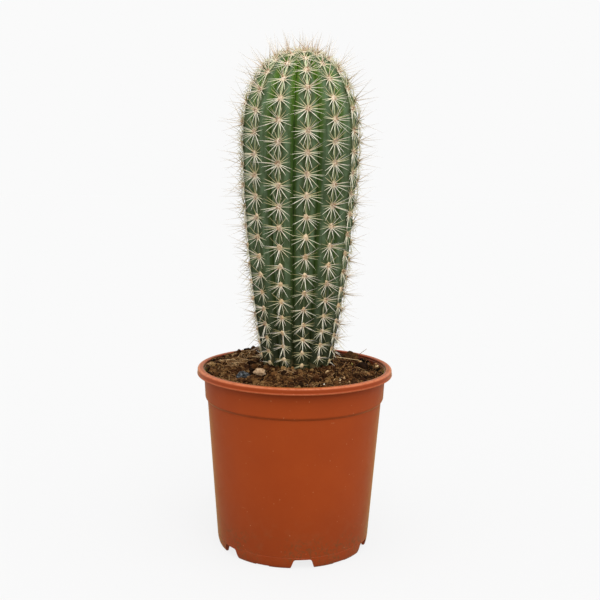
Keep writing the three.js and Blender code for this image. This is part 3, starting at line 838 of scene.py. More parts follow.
def areole_list():
    """Rib and arc length of every areole: alternate rows, shifted a little from rib to rib."""
    rows = row_arcs()
    found = []
    for rib in range(-HALF_RIBS, HALF_RIBS + 1):
        for row in range(abs(rib) % 2, len(rows), 2):
            arc = float(np.interp(row + rib / RIBS, np.arange(len(rows)), rows))
            if arc < OUTLINE_LENGTH - BARE_APEX:
                found.append((rib, arc))
    return np.array(found)


AREOLES = areole_list()


def stem_place(turn, arc, sink):
    """Points sunk under the stem's outline, with their outward, upward and rightward directions."""
    arc = np.clip(arc, 0, OUTLINE_LENGTH)
    step = 0.6
    radius = np.interp(arc, ARC, ARC_RADIUS)
    height = np.interp(arc, ARC, ARC_HEIGHT)
    rise = np.interp(arc + step, ARC, ARC_HEIGHT) - np.interp(arc - step, ARC, ARC_HEIGHT)
    widening = np.interp(arc + step, ARC, ARC_RADIUS) - np.interp(arc - step, ARC, ARC_RADIUS)
    length = np.maximum(np.hypot(rise, widening), 1e-9)
    rise, widening = (rise / length)[..., None], (widening / length)[..., None]
    out = outward(turn)
    normal = out * rise - UP_AXIS * widening
    up = out * widening + UP_AXIS * rise
    point = out * radius[..., None] + UP_AXIS * height[..., None] - normal * np.asarray(sink)[..., None]
    return point + np.array([STEM_X, 0.0, 0.0]), normal, up, sideways(turn)


# ---------------------------------------------------------------- stem

# Places across half a rib, from its crest to its groove, closer together at both.
HALF_RIB = (0, 0.03, 0.065, 0.11, 0.17, 0.25, 0.34, 0.44, 0.54, 0.64, 0.73, 0.81, 0.88, 0.93, 0.965, 0.985, 1)
STEM_STEP = 1.1
SWELLING = 0.6  # how far the skin rises at an areole
SWELLING_ACROSS = 3.2
SWELLING_ALONG = 3.4
CROWN_GROOVE = 1.5  # how much deeper the grooves are near the apex
WAVE_DEPTH = 0.35
WAVE_SIZE = 9.0
CREST_WIDTH = 0.62  # of the pale line


def stem_grid():
    """Ribs, offsets across the rib from -1 to 1, and arc lengths of the stem's fine grid."""
    offset = np.array([-share for share in HALF_RIB[:0:-1]] + list(HALF_RIB[:-1]))
    ribs = np.repeat(np.arange(-HALF_RIBS, HALF_RIBS + 1), len(offset))
    offsets = np.tile(offset, RIBS)
    arcs = np.arange(0, OUTLINE_LENGTH - 1, STEM_STEP)
    return ribs, offsets, arcs


def areole_nearness(ribs, offsets, arcs, radius):
    """How near each grid point is to an areole of its rib, from 0 to 1."""
    near = np.zeros((len(arcs), len(ribs)))
    across = offsets[None] * radius * RIB_PITCH / 2
    for rib in range(-HALF_RIBS, HALF_RIBS + 1):
        own = ribs == rib
        for centre in AREOLES[AREOLES[:, 0] == rib, 1]:
            along = (arcs[:, None] - centre) / SWELLING_ALONG
            spread = (across[:, own] / SWELLING_ACROSS) ** 2 + along**2
            near[:, own] = np.maximum(near[:, own], np.exp(-spread))
    return near


def stem_surface(ribs, offsets, arcs, turns):
    """The stem above the soil, row by row: ribs, swellings under the areoles and slight waves.

    The grooves deepen towards the apex, and both they and the swellings fade out on it.
    """
    radius = np.interp(arcs, ARC, ARC_RADIUS)[:, None]
    depth = np.abs(offsets)[None] ** GROOVE_POWER
    near = areole_nearness(ribs, offsets, arcs, radius)
    towards_apex = smoothstep(arcs / OUTLINE_LENGTH, 0.8, 0.93)[:, None] * np.minimum(1, radius / 12)
    sink = (GROOVE_SINK * radius + CROWN_GROOVE * towards_apex) * depth - CREST_RISE * (1 - depth)
    sink = sink - SWELLING * near * np.minimum(1, radius / 15)
    arc_grid = np.broadcast_to(arcs[:, None], sink.shape)
    turn_grid = np.broadcast_to(turns[None], sink.shape)
    points, normals, _, _ = stem_place(turn_grid, arc_grid, sink)
    waves = [noise.noise(Vector(point) / WAVE_SIZE) for point in points.reshape(-1, 3)]
    return points + normals * WAVE_DEPTH * np.reshape(waves, sink.shape)[..., None]


def buried_rings(offsets, turns):
    """The stem's rings under the soil, from its blunt end up."""
    depth = np.abs(offsets) ** GROOVE_POWER
    rings = []
    for z, ring_radius in ((ROOT_END, ROOT_END_RADIUS),) + ROOT_RINGS:
        reach = ring_radius * (1 - GROOVE_SINK / 2 * depth)
        rings.append(outward(turns) * reach[:, None] + np.array([STEM_X, 0, z]))
    return np.array(rings)


def stem_numbers(offsets, arcs, buried):
    """The stem's height and groove shares and its pale crest line, for each corner."""
    columns = len(offsets)
    radius = np.append(np.full(buried, 30), np.interp(arcs, ARC, ARC_RADIUS))
    height = np.append(np.zeros(buried), arcs / OUTLINE_LENGTH)
    width = np.abs(offsets)[None] * radius[:, None] * RIB_PITCH / 2
    crest = np.exp(-((width / CREST_WIDTH) ** 4)) * smoothstep(radius, 3, 9)[:, None]
    return {
        "groove": np.append(np.tile(np.abs(offsets), len(radius)), [0, 1]),
        "height": np.append(np.repeat(height, columns), [0, 1]),
        "crest": np.append(crest.ravel(), [0, 0]),
    }


def make_stem():
    ribs, offsets, arcs = stem_grid()
    turns = FIRST_CREST + RIB_PITCH * (ribs + offsets / 2)
    buried = buried_rings(offsets, turns)
    rows = np.concatenate([buried, stem_surface(ribs, offsets, arcs, turns)])
    ends = [[STEM_X, 0, ROOT_END - 0.3], [STEM_X, 0, APEX]]
    corners = np.vstack([rows.reshape(-1, 3), ends])
    numbers = stem_numbers(offsets, arcs, len(buried))
    stem = make_piece("cactus_stem", corners, pointed_stack(len(rows), len(offsets)), numbers)
    dress(stem, "cactus_skin", stem_skin(), "cactus")


# ---------------------------------------------------------------- spines and felt

SPINE_SEED = 29
TUFT_SEED = 31
WOOL_SEED = 33
PAD_SEED = 37

RADIAL_SPINES = 16
CENTRAL_TURNS = (0, 50, 92, 136, 180, 224, 268, 310)  # degrees; the first points down
SPINE_PLACES = np.array([0, 0.06, 0.14, 0.34, 0.58, 0.82, 1])
SPINE_STEPS = len(SPINE_PLACES)
SPINE_SIDES = 6
RADIAL_LENGTH = 10.4
CENTRAL_LENGTH = 25.0
RADIAL_THICKNESS = 0.42
CENTRAL_THICKNESS = 0.33
RADIAL_BEND = 0.01  # shares of the length
CENTRAL_BEND = 0.022
BLUNT_TAPER = 0.65
SHARP_TAPER = 1.15
LOWEST_TIP = 162.0
LEAN_STEPS = 12
LEAN_STEP = 0.1
STEEPEST = 1.5

TUFT_COUNT = 26
TUFT_REACH = 10.5
WOOL_COUNT = 1000
WOOL_REACH = 8.0
WOOL_RADIUS = 0.13

PAD_ACROSS = 2.2
PAD_ALONG = 2.8
PAD_HEIGHT = 1.0
PAD_LEVELS = 5
PAD_SIDES = 14
PAD_ROUGHNESS = 0.12
FUZZ_PER_PAD = 60
FUZZ_RADII = np.array([0.07, 0.055, 0.01])
HAIR_SIDES = 3


def areole_places():
    """Each areole's place, directions, nearness to the crown, cluster size and share of the stem."""
    turns = FIRST_CREST + RIB_PITCH * AREOLES[:, 0]
    arcs = AREOLES[:, 1]
    point, normal, up, right = stem_place(turns, arcs, np.full(len(arcs), -CREST_RISE - SWELLING))
    share = arcs / OUTLINE_LENGTH
    crown = smoothstep(share, 0.86, 1.0)
    size = (0.7 + 0.3 * smoothstep(share, 0.0, 0.45)) * (1 - 0.3 * crown)
    return point, (normal, up, right), crown, size, share


def upness_of(turn):
    """0 for a spine that points down from its areole and 1 for one that points up."""
    return (1 - np.cos(turn)) / 2


def across_areole(turn, right, up, reach_right=1.0, reach_up=1.0):
    """Places or directions round an areole; turn 0 points down."""
    to_right = (np.sin(turn) * reach_right)[..., None] * right[:, None]
    return to_right - (np.cos(turn) * reach_up)[..., None] * up[:, None]


def spine_directions(turn, lean, normal, up, right):
    flat = np.cos(lean)[..., None] * across_areole(turn, right, up)
    return unit(flat + np.sin(lean)[..., None] * normal[:, None])


def straight_paths(foot, direction, length, share):
    return foot[..., None, :] + direction[..., None, :] * (length[..., None] * share)[..., None]


def spine_paths(foot, direction, length, rng, bend):
    """Slightly bowed paths from the feet along the directions."""
    share = SPINE_PLACES
    bow = unit(np.cross(direction, rng.normal(0, 1, direction.shape)))
    sag = rng.normal(0, 1, length.shape) * bend * length
    path = straight_paths(foot, direction, length, share)
    return path + bow[..., None, :] * (sag[..., None] * share * (share - 0.2))[..., None]


def spine_radii(thickness, taper):
    """Radii from a stout foot to a fine point; a higher taper makes the spine thin sooner."""
    left = np.clip(1 - SPINE_PLACES, 0, 1) ** np.asarray(taper, float)[..., None]
    return thickness[..., None] * (0.08 + 0.92 * left)


def spine_numbers(tone, needle, fresh):
    """The numbers that the horn material reads, for each corner of each spine."""
    per_spine = SPINE_STEPS * SPINE_SIDES
    numbers = {"along": np.tile(np.repeat(SPINE_PLACES, SPINE_SIDES), tone.size)}
    for name, values in (("tone", tone), ("needle", needle), ("fresh", fresh)):
        numbers[name] = np.repeat(np.clip(values, 0, 1).ravel(), per_spine)
    return numbers


def radial_spines(rng, size, lowness, upper, crown):
    """Turns, leans, lengths, tones and thicknesses of the spines round each areole's edge.

    The upward ones are darker and thinner than the rest, and more so low on the stem.
    """
    shape = (len(size), RADIAL_SPINES)
    around = (np.arange(RADIAL_SPINES) + 0.5) / RADIAL_SPINES * 2 * np.pi
    turn = around[None] + 0.2 * np.sin(2 * around)[None] + rng.normal(0, 0.07, shape)
    upness = upness_of(turn)
    sideness = np.abs(np.sin(turn))
    lean = np.radians(5 + 9 * sideness + 5 * upness + 12 * crown + rng.normal(0, 3, shape))
    length = (RADIAL_LENGTH + 2.2 * sideness - 1.6 * upness) * rng.normal(1, 0.09, shape)
    length = length * size * (1 - 0.15 * crown)
    dulled = 1 - 0.12 * lowness - 0.3 * lowness * smoothstep(upness, 0.2, 0.6)
    tone = (0.88 - 0.62 * smoothstep(upness, 0.3, 0.85)) * dulled
    tone = tone + 0.6 * upper * (0.68 - tone) + rng.normal(0, 0.1, shape)
    thickness = RADIAL_THICKNESS * rng.normal(1, 0.1, shape) * (1 - 0.2 * upness)
    thickness = thickness * (1 - 0.28 * lowness) * (1 - 0.1 * upper) * (1 - 0.3 * crown)
    return turn, lean, length, tone, thickness


def central_spines(rng, size, lowness, crown):
    """The same for the spines in each areole's middle: a pale stout one, and long thin ones."""
    shape = (len(size), len(CENTRAL_TURNS))
    turn = np.radians(CENTRAL_TURNS)[None] + rng.normal(0, 0.3, shape)
    lean = np.radians(rng.uniform(32, 84, shape))
    length = rng.uniform(0.58, 1, shape) * (CENTRAL_LENGTH - 7 * lowness) * (1 - 0.2 * crown)
    tone = rng.uniform(0.3, 0.6, shape)
    thickness = CENTRAL_THICKNESS * rng.normal(1, 0.12, shape)
    first = np.arange(shape[1])[None] == 0
    lean = np.where(first, np.radians(33 + 12 * lowness + rng.normal(0, 6, shape)), lean)
    length = np.where(first, (RADIAL_LENGTH + 4 * lowness) * rng.normal(1, 0.14, shape), length)
    tone = np.where(first, 1.0, tone)
    thickness = np.where(first, RADIAL_THICKNESS * (0.8 + 0.06 * lowness) * (1 - 0.4 * crown), thickness)
    return turn, lean, length, tone, thickness


def raise_from_soil(foot, turn, lean, length, axes):
    """Directions and leans of spines, leaned out in steps until their tips clear the soil."""
    for _ in range(LEAN_STEPS):
        direction = spine_directions(turn, lean, *axes)
        tip = foot + direction * length[..., None]
        lean = np.where((tip[..., 2] < LOWEST_TIP) & (lean < STEEPEST), lean + LEAN_STEP, lean)
    return direction, lean


def left_out(turn, order, lowness, near_soil, crown, pushed_up):
    """The chance that a spine is missing: high in the crown, near the soil and where it is pushed up."""
    faded = 0.08 * lowness + 0.6 * lowness * smoothstep(upness_of(turn), 0.55, 0.8) + 0.3 * near_soil
    chance = np.where(order < RADIAL_SPINES, 0.05 + 0.5 * crown + faded, 0.36 + 0.3 * crown + 0.3 * near_soil)
    first_central = 0.3 + 0.25 * (1 - lowness) + 0.2 * crown + 0.5 * near_soil
    chance = np.where(order == RADIAL_SPINES, first_central, chance)
    return chance + (0.7 + 0.3 * near_soil) * pushed_up


def make_spines(horn):
    rng = np.random.default_rng(SPINE_SEED)
    point, axes, crown, size, share = areole_places()
    normal, up, right = axes
    crown, size, share = crown[:, None], size[:, None], share[:, None]
    lowness = smoothstep(share, 0.55, 0.3)
    upper = smoothstep(share, 0.72, 0.92)
    near_soil = smoothstep(share, 0.1, 0.02)
    radial = radial_spines(rng, size, lowness, upper, crown)
    central = central_spines(rng, size, lowness, crown)
    turn, lean, length, tone, thickness = (np.hstack(pair) for pair in zip(radial, central))
    order = np.arange(turn.shape[1])[None]
    is_central = order >= RADIAL_SPINES
    needle = 1.0 * (order > RADIAL_SPINES) * np.ones(turn.shape)
    length = length * (1 - np.where(is_central, 0.5, 0.25) * near_soil)
    reach = np.where(is_central, 1.0, 1.5) * size
    foot = point[:, None] + across_areole(turn, right, up, reach, 1.3 * reach)
    foot = foot + np.where(needle > 0, 0.5 * size, 0.1)[..., None] * normal[:, None]
    direction, raised = raise_from_soil(foot, turn, lean, length, axes)

    fresh = 0.9 * crown ** np.where(is_central, 1.6, 3) * rng.uniform(0.2, 1.2, turn.shape)
    tone = tone - 0.25 * near_soil
    missing = left_out(turn, order, lowness, near_soil, crown, raised > lean + 0.25)
    keep = rng.uniform(0, 1, turn.shape) > missing
    paths = spine_paths(foot, direction, length, rng, np.where(is_central, CENTRAL_BEND, RADIAL_BEND))
    radii = spine_radii(thickness[keep], np.where(needle[keep] > 0, SHARP_TAPER, BLUNT_TAPER))
    corners, faces = tapered_tubes(paths[keep], radii, SPINE_SIDES)
    numbers = spine_numbers(tone[keep], needle[keep], fresh[keep])
    dress(make_piece("cactus_spines", corners, faces, numbers), "cactus_skin", horn)


def apex_places(rng, count, farthest, crowding, sunk, fall):
    """Random turns, reaches and places on the apex, which falls off with the square of the reach."""
    turn = rng.uniform(0, 2 * np.pi, count)
    reach = farthest * rng.uniform(0, 1, count) ** crowding
    height = APEX - sunk - fall * reach**2
    return turn, reach, outward(turn) * reach[:, None] + UP_AXIS * height[:, None] + np.array([STEM_X, 0, 0])


def make_crown(horn):
    """The tuft of young spines on the apex."""
    rng = np.random.default_rng(TUFT_SEED)
    count = TUFT_COUNT
    turn, reach, foot = apex_places(rng, count, TUFT_REACH, 0.65, 0.6, 0.03)
    lean = np.radians(86 - 3.6 * reach + rng.normal(0, 8, count))
    length = rng.uniform(8, 16.5, count)
    paths = spine_paths(foot, leaning(turn, lean), length, rng, 0.03)
    radii = spine_radii(rng.uniform(0.26, 0.42, count), np.full(count, SHARP_TAPER))
    corners, faces = tapered_tubes(paths, radii, SPINE_SIDES)
    tone, needle = rng.uniform(0.2, 0.8, count), rng.uniform(0, 0.8, count)
    numbers = spine_numbers(tone, needle, rng.uniform(0, 1, count) ** 2)
    dress(make_piece("crown_tuft", corners, faces, numbers), "cactus_skin", horn)


def make_hairs(name, rng, foot, direction, length, droop, radii, tones, heights, felt):
    """Short drooping hairs as one piece, with the mean and spread of their tone."""
    steps = len(radii)
    share = np.linspace(0, 1, steps)
    bow = unit(np.cross(direction, rng.normal(0, 1, direction.shape)))
    paths = straight_paths(foot, direction, length, share)
    paths = paths + bow[..., None, :] * (droop * length[..., None] * share**2)[..., None]
    paths = paths.reshape(-1, steps, 3)
    corners, faces = tapered_tubes(paths, np.tile(radii, (len(paths), 1)), HAIR_SIDES)
    tone = np.clip(rng.normal(*tones, len(paths)), 0, 1)
    per_hair = steps * HAIR_SIDES
    numbers = {"tone": np.repeat(tone, per_hair), "height": np.repeat(heights, per_hair)}
    dress(make_piece(name, corners, faces, numbers), "cactus_skin", felt)


def make_crown_wool(felt):
    """Short pale wool between the young areoles on the apex."""
    rng = np.random.default_rng(WOOL_SEED)
    count = WOOL_COUNT
    turn, reach, foot = apex_places(rng, count, WOOL_REACH, 0.75, 0.7, 0.035)
    lean = np.radians(85 - 3 * reach + rng.normal(0, 22, count))
    direction = leaning(turn + rng.normal(0, 0.8, count), lean)
    length = rng.uniform(0.8, 2.2, count) * (1 - reach / 14)
    radii = WOOL_RADIUS * (1 - 0.8 * np.linspace(0, 1, 4))
    heights = np.ones(count)
    make_hairs("crown_wool", rng, foot, direction, length, 0.35, radii, (0.85, 0.15), heights, felt)


def make_pads(rng, point, axes, crown, size, share, felt):
    """Uneven felted domes under the spine clusters."""
    normal, up, right = (axis[:, None, None] for axis in axes)
    angles = turns_round(PAD_SIDES)
    rise = np.linspace(-0.5, 1.35, PAD_LEVELS)
    wobble = 1 + PAD_ROUGHNESS * rng.normal(0, 1, (len(point), PAD_LEVELS, PAD_SIDES))
    ring_size = np.cos(rise)[:, None] * wobble * size[:, None, None]
    lift = PAD_HEIGHT * np.sin(rise)[None, :, None] * wobble - 0.35
    rings = point[:, None, None] + (PAD_ACROSS * ring_size * np.sin(angles))[..., None] * right
    rings = rings - (PAD_ALONG * ring_size * np.cos(angles))[..., None] * up + lift[..., None] * normal
    faces = capped_stacks(len(point), PAD_LEVELS, PAD_SIDES)
    tone = np.clip(0.55 + rng.normal(0, 0.12, len(point)) + 0.1 * crown, 0, 1)
    corners_each = PAD_LEVELS * PAD_SIDES
    numbers = {"tone": np.repeat(tone, corners_each), "height": np.repeat(share, corners_each)}
    dress(make_piece("areole_pads", rings.reshape(-1, 3), faces, numbers), "cactus_skin", felt)


def make_fuzz(rng, point, axes, size, share, felt):
    """Short hairs all over the pads."""
    normal, up, right = axes
    size = size[:, None]
    turn = rng.uniform(0, 2 * np.pi, (len(point), FUZZ_PER_PAD))
    reach = np.sqrt(rng.uniform(0, 1, turn.shape))
    lean = np.radians(rng.uniform(25, 85, turn.shape))
    length = rng.uniform(0.7, 1.7, turn.shape) * size
    lift = PAD_HEIGHT * np.sqrt(np.maximum(0, 1 - reach**2)) - 0.55
    reach = reach * size
    foot = point[:, None] + across_areole(turn, right, up, PAD_ACROSS * reach, PAD_ALONG * reach)
    foot = foot + lift[..., None] * normal[:, None]
    direction = spine_directions(turn, lean, normal, up, right)
    heights = np.repeat(share, FUZZ_PER_PAD)
    make_hairs("areole_fuzz", rng, foot, direction, length, 0.3, FUZZ_RADII, (0.7, 0.2), heights, felt)


def make_felt():
    """The pads with their fuzz, and the wool of the apex."""
    rng = np.random.default_rng(PAD_SEED)
    felt = areole_felt()
    point, axes, crown, size, share = areole_places()
    make_pads(rng, point, axes, crown, size, share, felt)
    make_fuzz(rng, point, axes, size, share, felt)
    make_crown_wool(felt)


# ---------------------------------------------------------------- soil

SOIL_SEED = 41
SOIL_SIDES = 420
SOIL_RINGS = 96
CLEARANCE = 0.3  # to the pot
CRUMBLE_DEPTH = 1.5
CRUMBLE_SIZE = 6.5
STONE_HOLLOW = 1.8  # depth of the hollow round each named stone and clod
LUMP_RISE = 0.3  # how far a lump's middle stands over the soil, as a share of its size

# Loose soil: piece, number, least and greatest size, tone, flatness, and fineness of its balls.
LOOSE_SOIL = (
    ("soil_grains", 8500, (0.35, 0.95), (0.05, 0.85), (0.7, 1.1), 1),
    ("soil_crumbs", 2400, (0.6, 1.45), (0.0, 0.85), (0.7, 1.1), 2),
    ("soil_clods", 260, (1.3, 3.0), (0.0, 0.5), (0.6, 1.0), 3),
)
BARK_BITS = ("bark_bits", 240, (0.6, 2.2), (0.1, 0.62), (0.25, 0.5), 2)

# Fibres: lengths, thicknesses and tones.
FIBRE_COUNT = 460
LOOSE_FIBRES = ((4, 15), (0.1, 0.3), (0.0, 0.65))
NEST_FIBRES = ((4, 14), (0.12, 0.32), (0.25, 0.85))
FIBRE_STEPS = 7
FIBRE_SIDES = 5

# Nests of fibres on the soil: place, spread and number of fibres.
FIBRE_NESTS = (
    ((-57.0, 8.0), 7.0, 120),
    ((-38.0, 33.0), 7.0, 130),
    ((-47.0, 19.5), 4.5, 40),
    ((-3.8, -30.8), 2.6, 28),
    ((-74.0, 2.0), 2.5, 16),
    ((22.0, 44.0), 9.0, 40),
)

# Lumps that stand out on the soil: place, size, tone and warmth.
MARKED_LUMPS = (
    ((-44.3, 48.0), 2.4, 0.05, 0.1),
    ((-66.4, 36.7), 2.2, 0.05, 0.1),
    ((73.0, 1.0), 2.6, 0.1, 0.0),
    ((-72.1, -2.7), 2.3, 1.0, 0.0),
    ((-73.0, 6.9), 2.1, 1.0, 0.0),
    ((-9.7, -28.4), 2.3, 1.0, 0.2),
    ((-16.8, -44.3), 2.9, 0.6, 1.0),
)

# Sticks and fallen spines: an end, its height over the soil, the other end, its height, thickness, tone.
STICKS = (
    ((34.9, 14.2), 3.6, (57.6, 23.5), 2.8, 0.36, 1.0),
    ((58.0, 41.0), 7.4, (65.6, 37.8), 11.2, 0.34, 0.6),
    ((-51.0, 17.7), 0.6, (-49.3, 38.8), 1.6, 0.55, 0.25),
    ((-30.0, 22.0), 2.6, (-52.0, 30.0), 0.8, 0.3, 0.95),
)

# Pale mineral bits and mossy bits: place and size.
PALE_BITS = (((24.4, -56.6), 0.75), ((10.5, -55.7), 0.4), ((-22.0, -52.0), 0.35), ((38.0, -40.0), 0.35))
MOSSY_BITS = (((62.3, -6.6), 1.7), ((51.3, 15.9), 1.4), ((48.5, 12.5), 1.1), ((64.0, -9.5), 1.2))


def nearness_to_stem(x, y):
    foot_radius = taper_radius(OUTLINE_FOOT)
    share = (np.hypot(x - STEM_X, y) - foot_radius) / (COLLAR_TOP_RADIUS - foot_radius)
    return np.clip(1 - share, 0, 1)


def soil_height(x, y):
    """The mound round the stem, higher at the back and on the left, with its heap and large lumps."""
    near = nearness_to_stem(x, y)
    mound = SOIL_WALL_LEVEL + (SOIL_STEM_LEVEL - SOIL_WALL_LEVEL) * near**MOUND_POWER
    back = BACK_RISE * smoothstep(y, 0, RISE_REACH)
    to_left = smoothstep(0.6 * y - 0.8 * x, 0.1 * RISE_REACH, 0.9 * RISE_REACH)
    rise = (back + (LEFT_RISE - back) * to_left) * (1 - near)
    from_heap = np.minimum(1, np.hypot(x - HEAP_PLACE[0], y - HEAP_PLACE[1]) / HEAP_REACH)
    heap = HEAP_HEIGHT * (1 - from_heap**2) ** 2
    lumps = np.sin(x / 5.3 + 1.2) * np.sin(y / 6.1) + 0.6 * np.sin((x - y) / 3.9 + 0.7)
    return mound + rise + heap + LUMP_HEIGHT * lumps * (1 - near**4)


def crumble(places):
    """The fine unevenness of the soil, in millimetres."""
    points = [Vector((x / CRUMBLE_SIZE, y / CRUMBLE_SIZE, 3.1)) for x, y in places]
    return CRUMBLE_DEPTH * np.array([noise.fractal(point, 0.75, 2.1, 5) for point in points])


def rough_height(places):
    """The soil's height with its fine unevenness at many places, and hollows round the named stones."""
    x, y = places.T
    hollows = np.zeros(len(places))
    for _, place, half, *_ in LOOSE:
        away = np.hypot(x - place[0], y - place[1] + 0.4 * half[1]) / half[0]
        hollows = np.maximum(hollows, smoothstep(away, 1.6, 0.9))
    return soil_height(x, y) + crumble(places) * (1 - hollows) - STONE_HOLLOW * hollows


def patches(places, size, layer):
    """Slow variation over the soil, from about -0.5 to 0.5."""
    return np.array([noise.noise(Vector((x / size, y / size, layer))) for x, y in places])


def make_soil(material):
    out = outward(turns_round(SOIL_SIDES))
    middle = np.array([STEM_X, 0, 0])
    inner = out * (taper_radius(OUTLINE_FOOT) * 0.84) + middle
    share = np.linspace(0, 1, SOIL_RINGS)[:, None, None]
    top = inner[None] * (1 - share) + out[None] * SOIL_RADIUS * share
    top[..., 2] = rough_height(top[..., :2].reshape(-1, 2)).reshape(SOIL_RINGS, SOIL_SIDES)
    floor = FLOOR_UNDERSIDE + WALL + CLEARANCE
    levels = ((COLLAR_FOOT_RADIUS, COLLAR_FOOT), (WALL_TOP_RADIUS, WALL_TOP), (SKIRT_TOP_RADIUS, floor))
    wall = [out * (radius - WALL - CLEARANCE) + UP_AXIS * z for radius, z in levels]
    bottom = out * 5 + middle + UP_AXIS * floor
    hole = [out * (radius * 0.8) + middle + UP_AXIS * z for z, radius in ROOT_RINGS]
    hole_end = out * 3 + middle + UP_AXIS * (ROOT_END - 0.5)
    rows = np.concatenate([[hole_end], hole, top, wall, [bottom]])
    corners = rows.reshape(-1, 3)
    faces = [face[::-1] for face in capped_stacks(1, len(rows), SOIL_SIDES)]
    # The soil body is dark peat, kept darker as painted shade in the gaps between the loose lumps.
    tone = np.clip(0.1 + 0.2 * crumble(corners[:, :2]), 0, 1)
    warmth = np.clip(0.4 + patches(corners[:, :2], 12, 5.5), 0, 1)
    soil = make_piece("soil_body", corners, faces, {"tone": tone, "warmth": warmth})
    dress(soil, "peat_soil", material, "soil")


def unit_lump(subdivisions):
    """Corners and triangles of a many-sided ball."""
    shape = bmesh.new()
    bmesh.ops.create_icosphere(shape, subdivisions=subdivisions, radius=1)
    corners = np.array([v.co[:] for v in shape.verts])
    faces = [[v.index for v in face.verts] for face in shape.faces]
    shape.free()
    return corners, faces


def random_turns(rng, count):
    """Random rotation matrices."""
    w, x, y, z = unit(rng.normal(0, 1, (count, 4))).T
    rows = [[1 - 2 * (y * y + z * z), 2 * (x * y - w * z), 2 * (x * z + w * y)],
            [2 * (x * y + w * z), 1 - 2 * (x * x + z * z), 2 * (y * z - w * x)],
            [2 * (x * z - w * y), 2 * (y * z + w * x), 1 - 2 * (x * x + y * y)]]
    return np.moveaxis(np.array(rows), 2, 0)


def on_open_soil(x, y):
    """Whether a place is clear of the stem's foot and of the named stones and clods."""
    if math.hypot(x - STEM_X, y) < taper_radius(OUTLINE_FOOT) * 0.93:
        return False
    return all(math.hypot(x - place[0], y - place[1]) > 0.9 * half[0] for _, place, half, *_ in LOOSE)


def soil_places(rng, count):
    """Random places on the soil between the stem and the wall."""
    places = []
    while len(places) < count:
        turn = rng.uniform(0, 2 * np.pi)
        reach = SOIL_RADIUS * math.sqrt(rng.uniform(0, 1))
        x, y = reach * math.sin(turn), -reach * math.cos(turn)
        if on_open_soil(x, y):
            places.append((x, y))
    return np.array(places)


def inside_wall(places, margin):
    """The places, moved in where they are nearer to the pot's wall than the margin."""
    reach = np.maximum(np.hypot(places[..., 0], places[..., 1]), 1)
    return places * np.minimum(1, (SOIL_RADIUS - CLEARANCE - margin) / reach)[..., None]


def make_lumps(name, rng, places, size, numbers, flatness, fineness, material):
    """Rough lumps half sunk in the soil's surface, as one piece."""
    count = len(places)
    ball, triangles = unit_lump(fineness)
    places = inside_wall(places, 1.25 * size)
    spread = rng.uniform(0.75, 1.25, (count, 2))
    stretch = np.column_stack([spread, rng.uniform(*flatness, count)])
    phase = rng.uniform(0, 6, (count, 3, 1))
    wave = sum(np.sin(pitch * ball[:, i] + phase[:, i]) for i, pitch in enumerate((3.1, 4.3, 5.7)))
    bulge = 1 + 0.11 * wave + rng.normal(0, 0.09, (count, len(ball)))
    shapes = ball[None] * bulge[..., None] * stretch[:, None] * size[:, None, None]
    shapes = np.einsum("nij,nkj->nki", random_turns(rng, count), shapes)
    centres = np.column_stack([places, rough_height(places) + LUMP_RISE * size])
    corners = (shapes + centres[:, None]).reshape(-1, 3)
    faces = repeated(triangles, count, len(ball))
    numbers = {key: np.repeat(np.clip(values, 0, 1), len(ball)) for key, values in numbers.items()}
    dress(make_piece(name, corners, faces, numbers), "peat_soil", material)


def scatter_lumps(rng, material, name, count, sizes, tones, flatness, fineness):
    """Lumps at random places, more of them small, lighter in front, with tone and warmth in patches."""
    places = soil_places(rng, count)
    size = sizes[0] * (sizes[1] / sizes[0]) ** (rng.uniform(0, 1, count) ** 2)
    in_front = smoothstep(-places[:, 1], 10, 60)
    tone = rng.uniform(*tones, count) + 0.5 * patches(places, 8, 4.7) + 0.12 * in_front
    warmth = 0.35 + rng.normal(0, 0.22, count) + 0.9 * patches(places, 14, 9.2)
    numbers = {"tone": tone, "warmth": warmth}
    make_lumps(name, rng, places, size, numbers, flatness, fineness, material)


def scatter_fibres(name, rng, places, lengths, thicknesses, tones, material):
    """Thin curved fibres lying on the soil, as one piece."""
    count = len(places)
    share = np.linspace(-0.5, 0.5, FIBRE_STEPS)
    turn = rng.uniform(0, 2 * np.pi, count)
    curl = rng.normal(0, 0.9, count)
    length = rng.uniform(*lengths, count)
    heading = turn[:, None] + curl[:, None] * share
    step = length[:, None, None] * np.stack([np.cos(heading), np.sin(heading)], axis=-1) / (FIBRE_STEPS - 1)
    flat = places[:, None] + np.cumsum(step, axis=1) - step.sum(axis=1, keepdims=True) / 2
    flat = inside_wall(flat, 0.6)
    height = rough_height(flat.reshape(-1, 2)).reshape(count, FIBRE_STEPS)
    level = (height + height.mean(axis=1, keepdims=True)) / 2
    arch = rng.uniform(0.1, 1.8, count)[:, None] * (1 - 4 * share**2)
    path = np.concatenate([flat, (level + arch + 0.3)[..., None]], axis=-1)
    radii = rng.uniform(*thicknesses, count)[:, None] * (1 - 0.5 * np.abs(2 * share) ** 3)
    corners, faces = tapered_tubes(path, radii, FIBRE_SIDES)
    tone = np.repeat(rng.uniform(*tones, count), FIBRE_STEPS * FIBRE_SIDES)
    dress(make_piece(name, corners, faces, {"tone": tone}), "peat_soil", material)


def fallen_path(end, lift, other_end, other_lift):
    """A straight line between two places, held over the soil at each by its lift."""
    places = np.array([end, other_end])
    ends = np.column_stack([places, rough_height(places) + np.array([lift, other_lift])])
    share = np.linspace(0, 1, SPINE_STEPS)[:, None]
    return ends[0] * (1 - share) + ends[1] * share


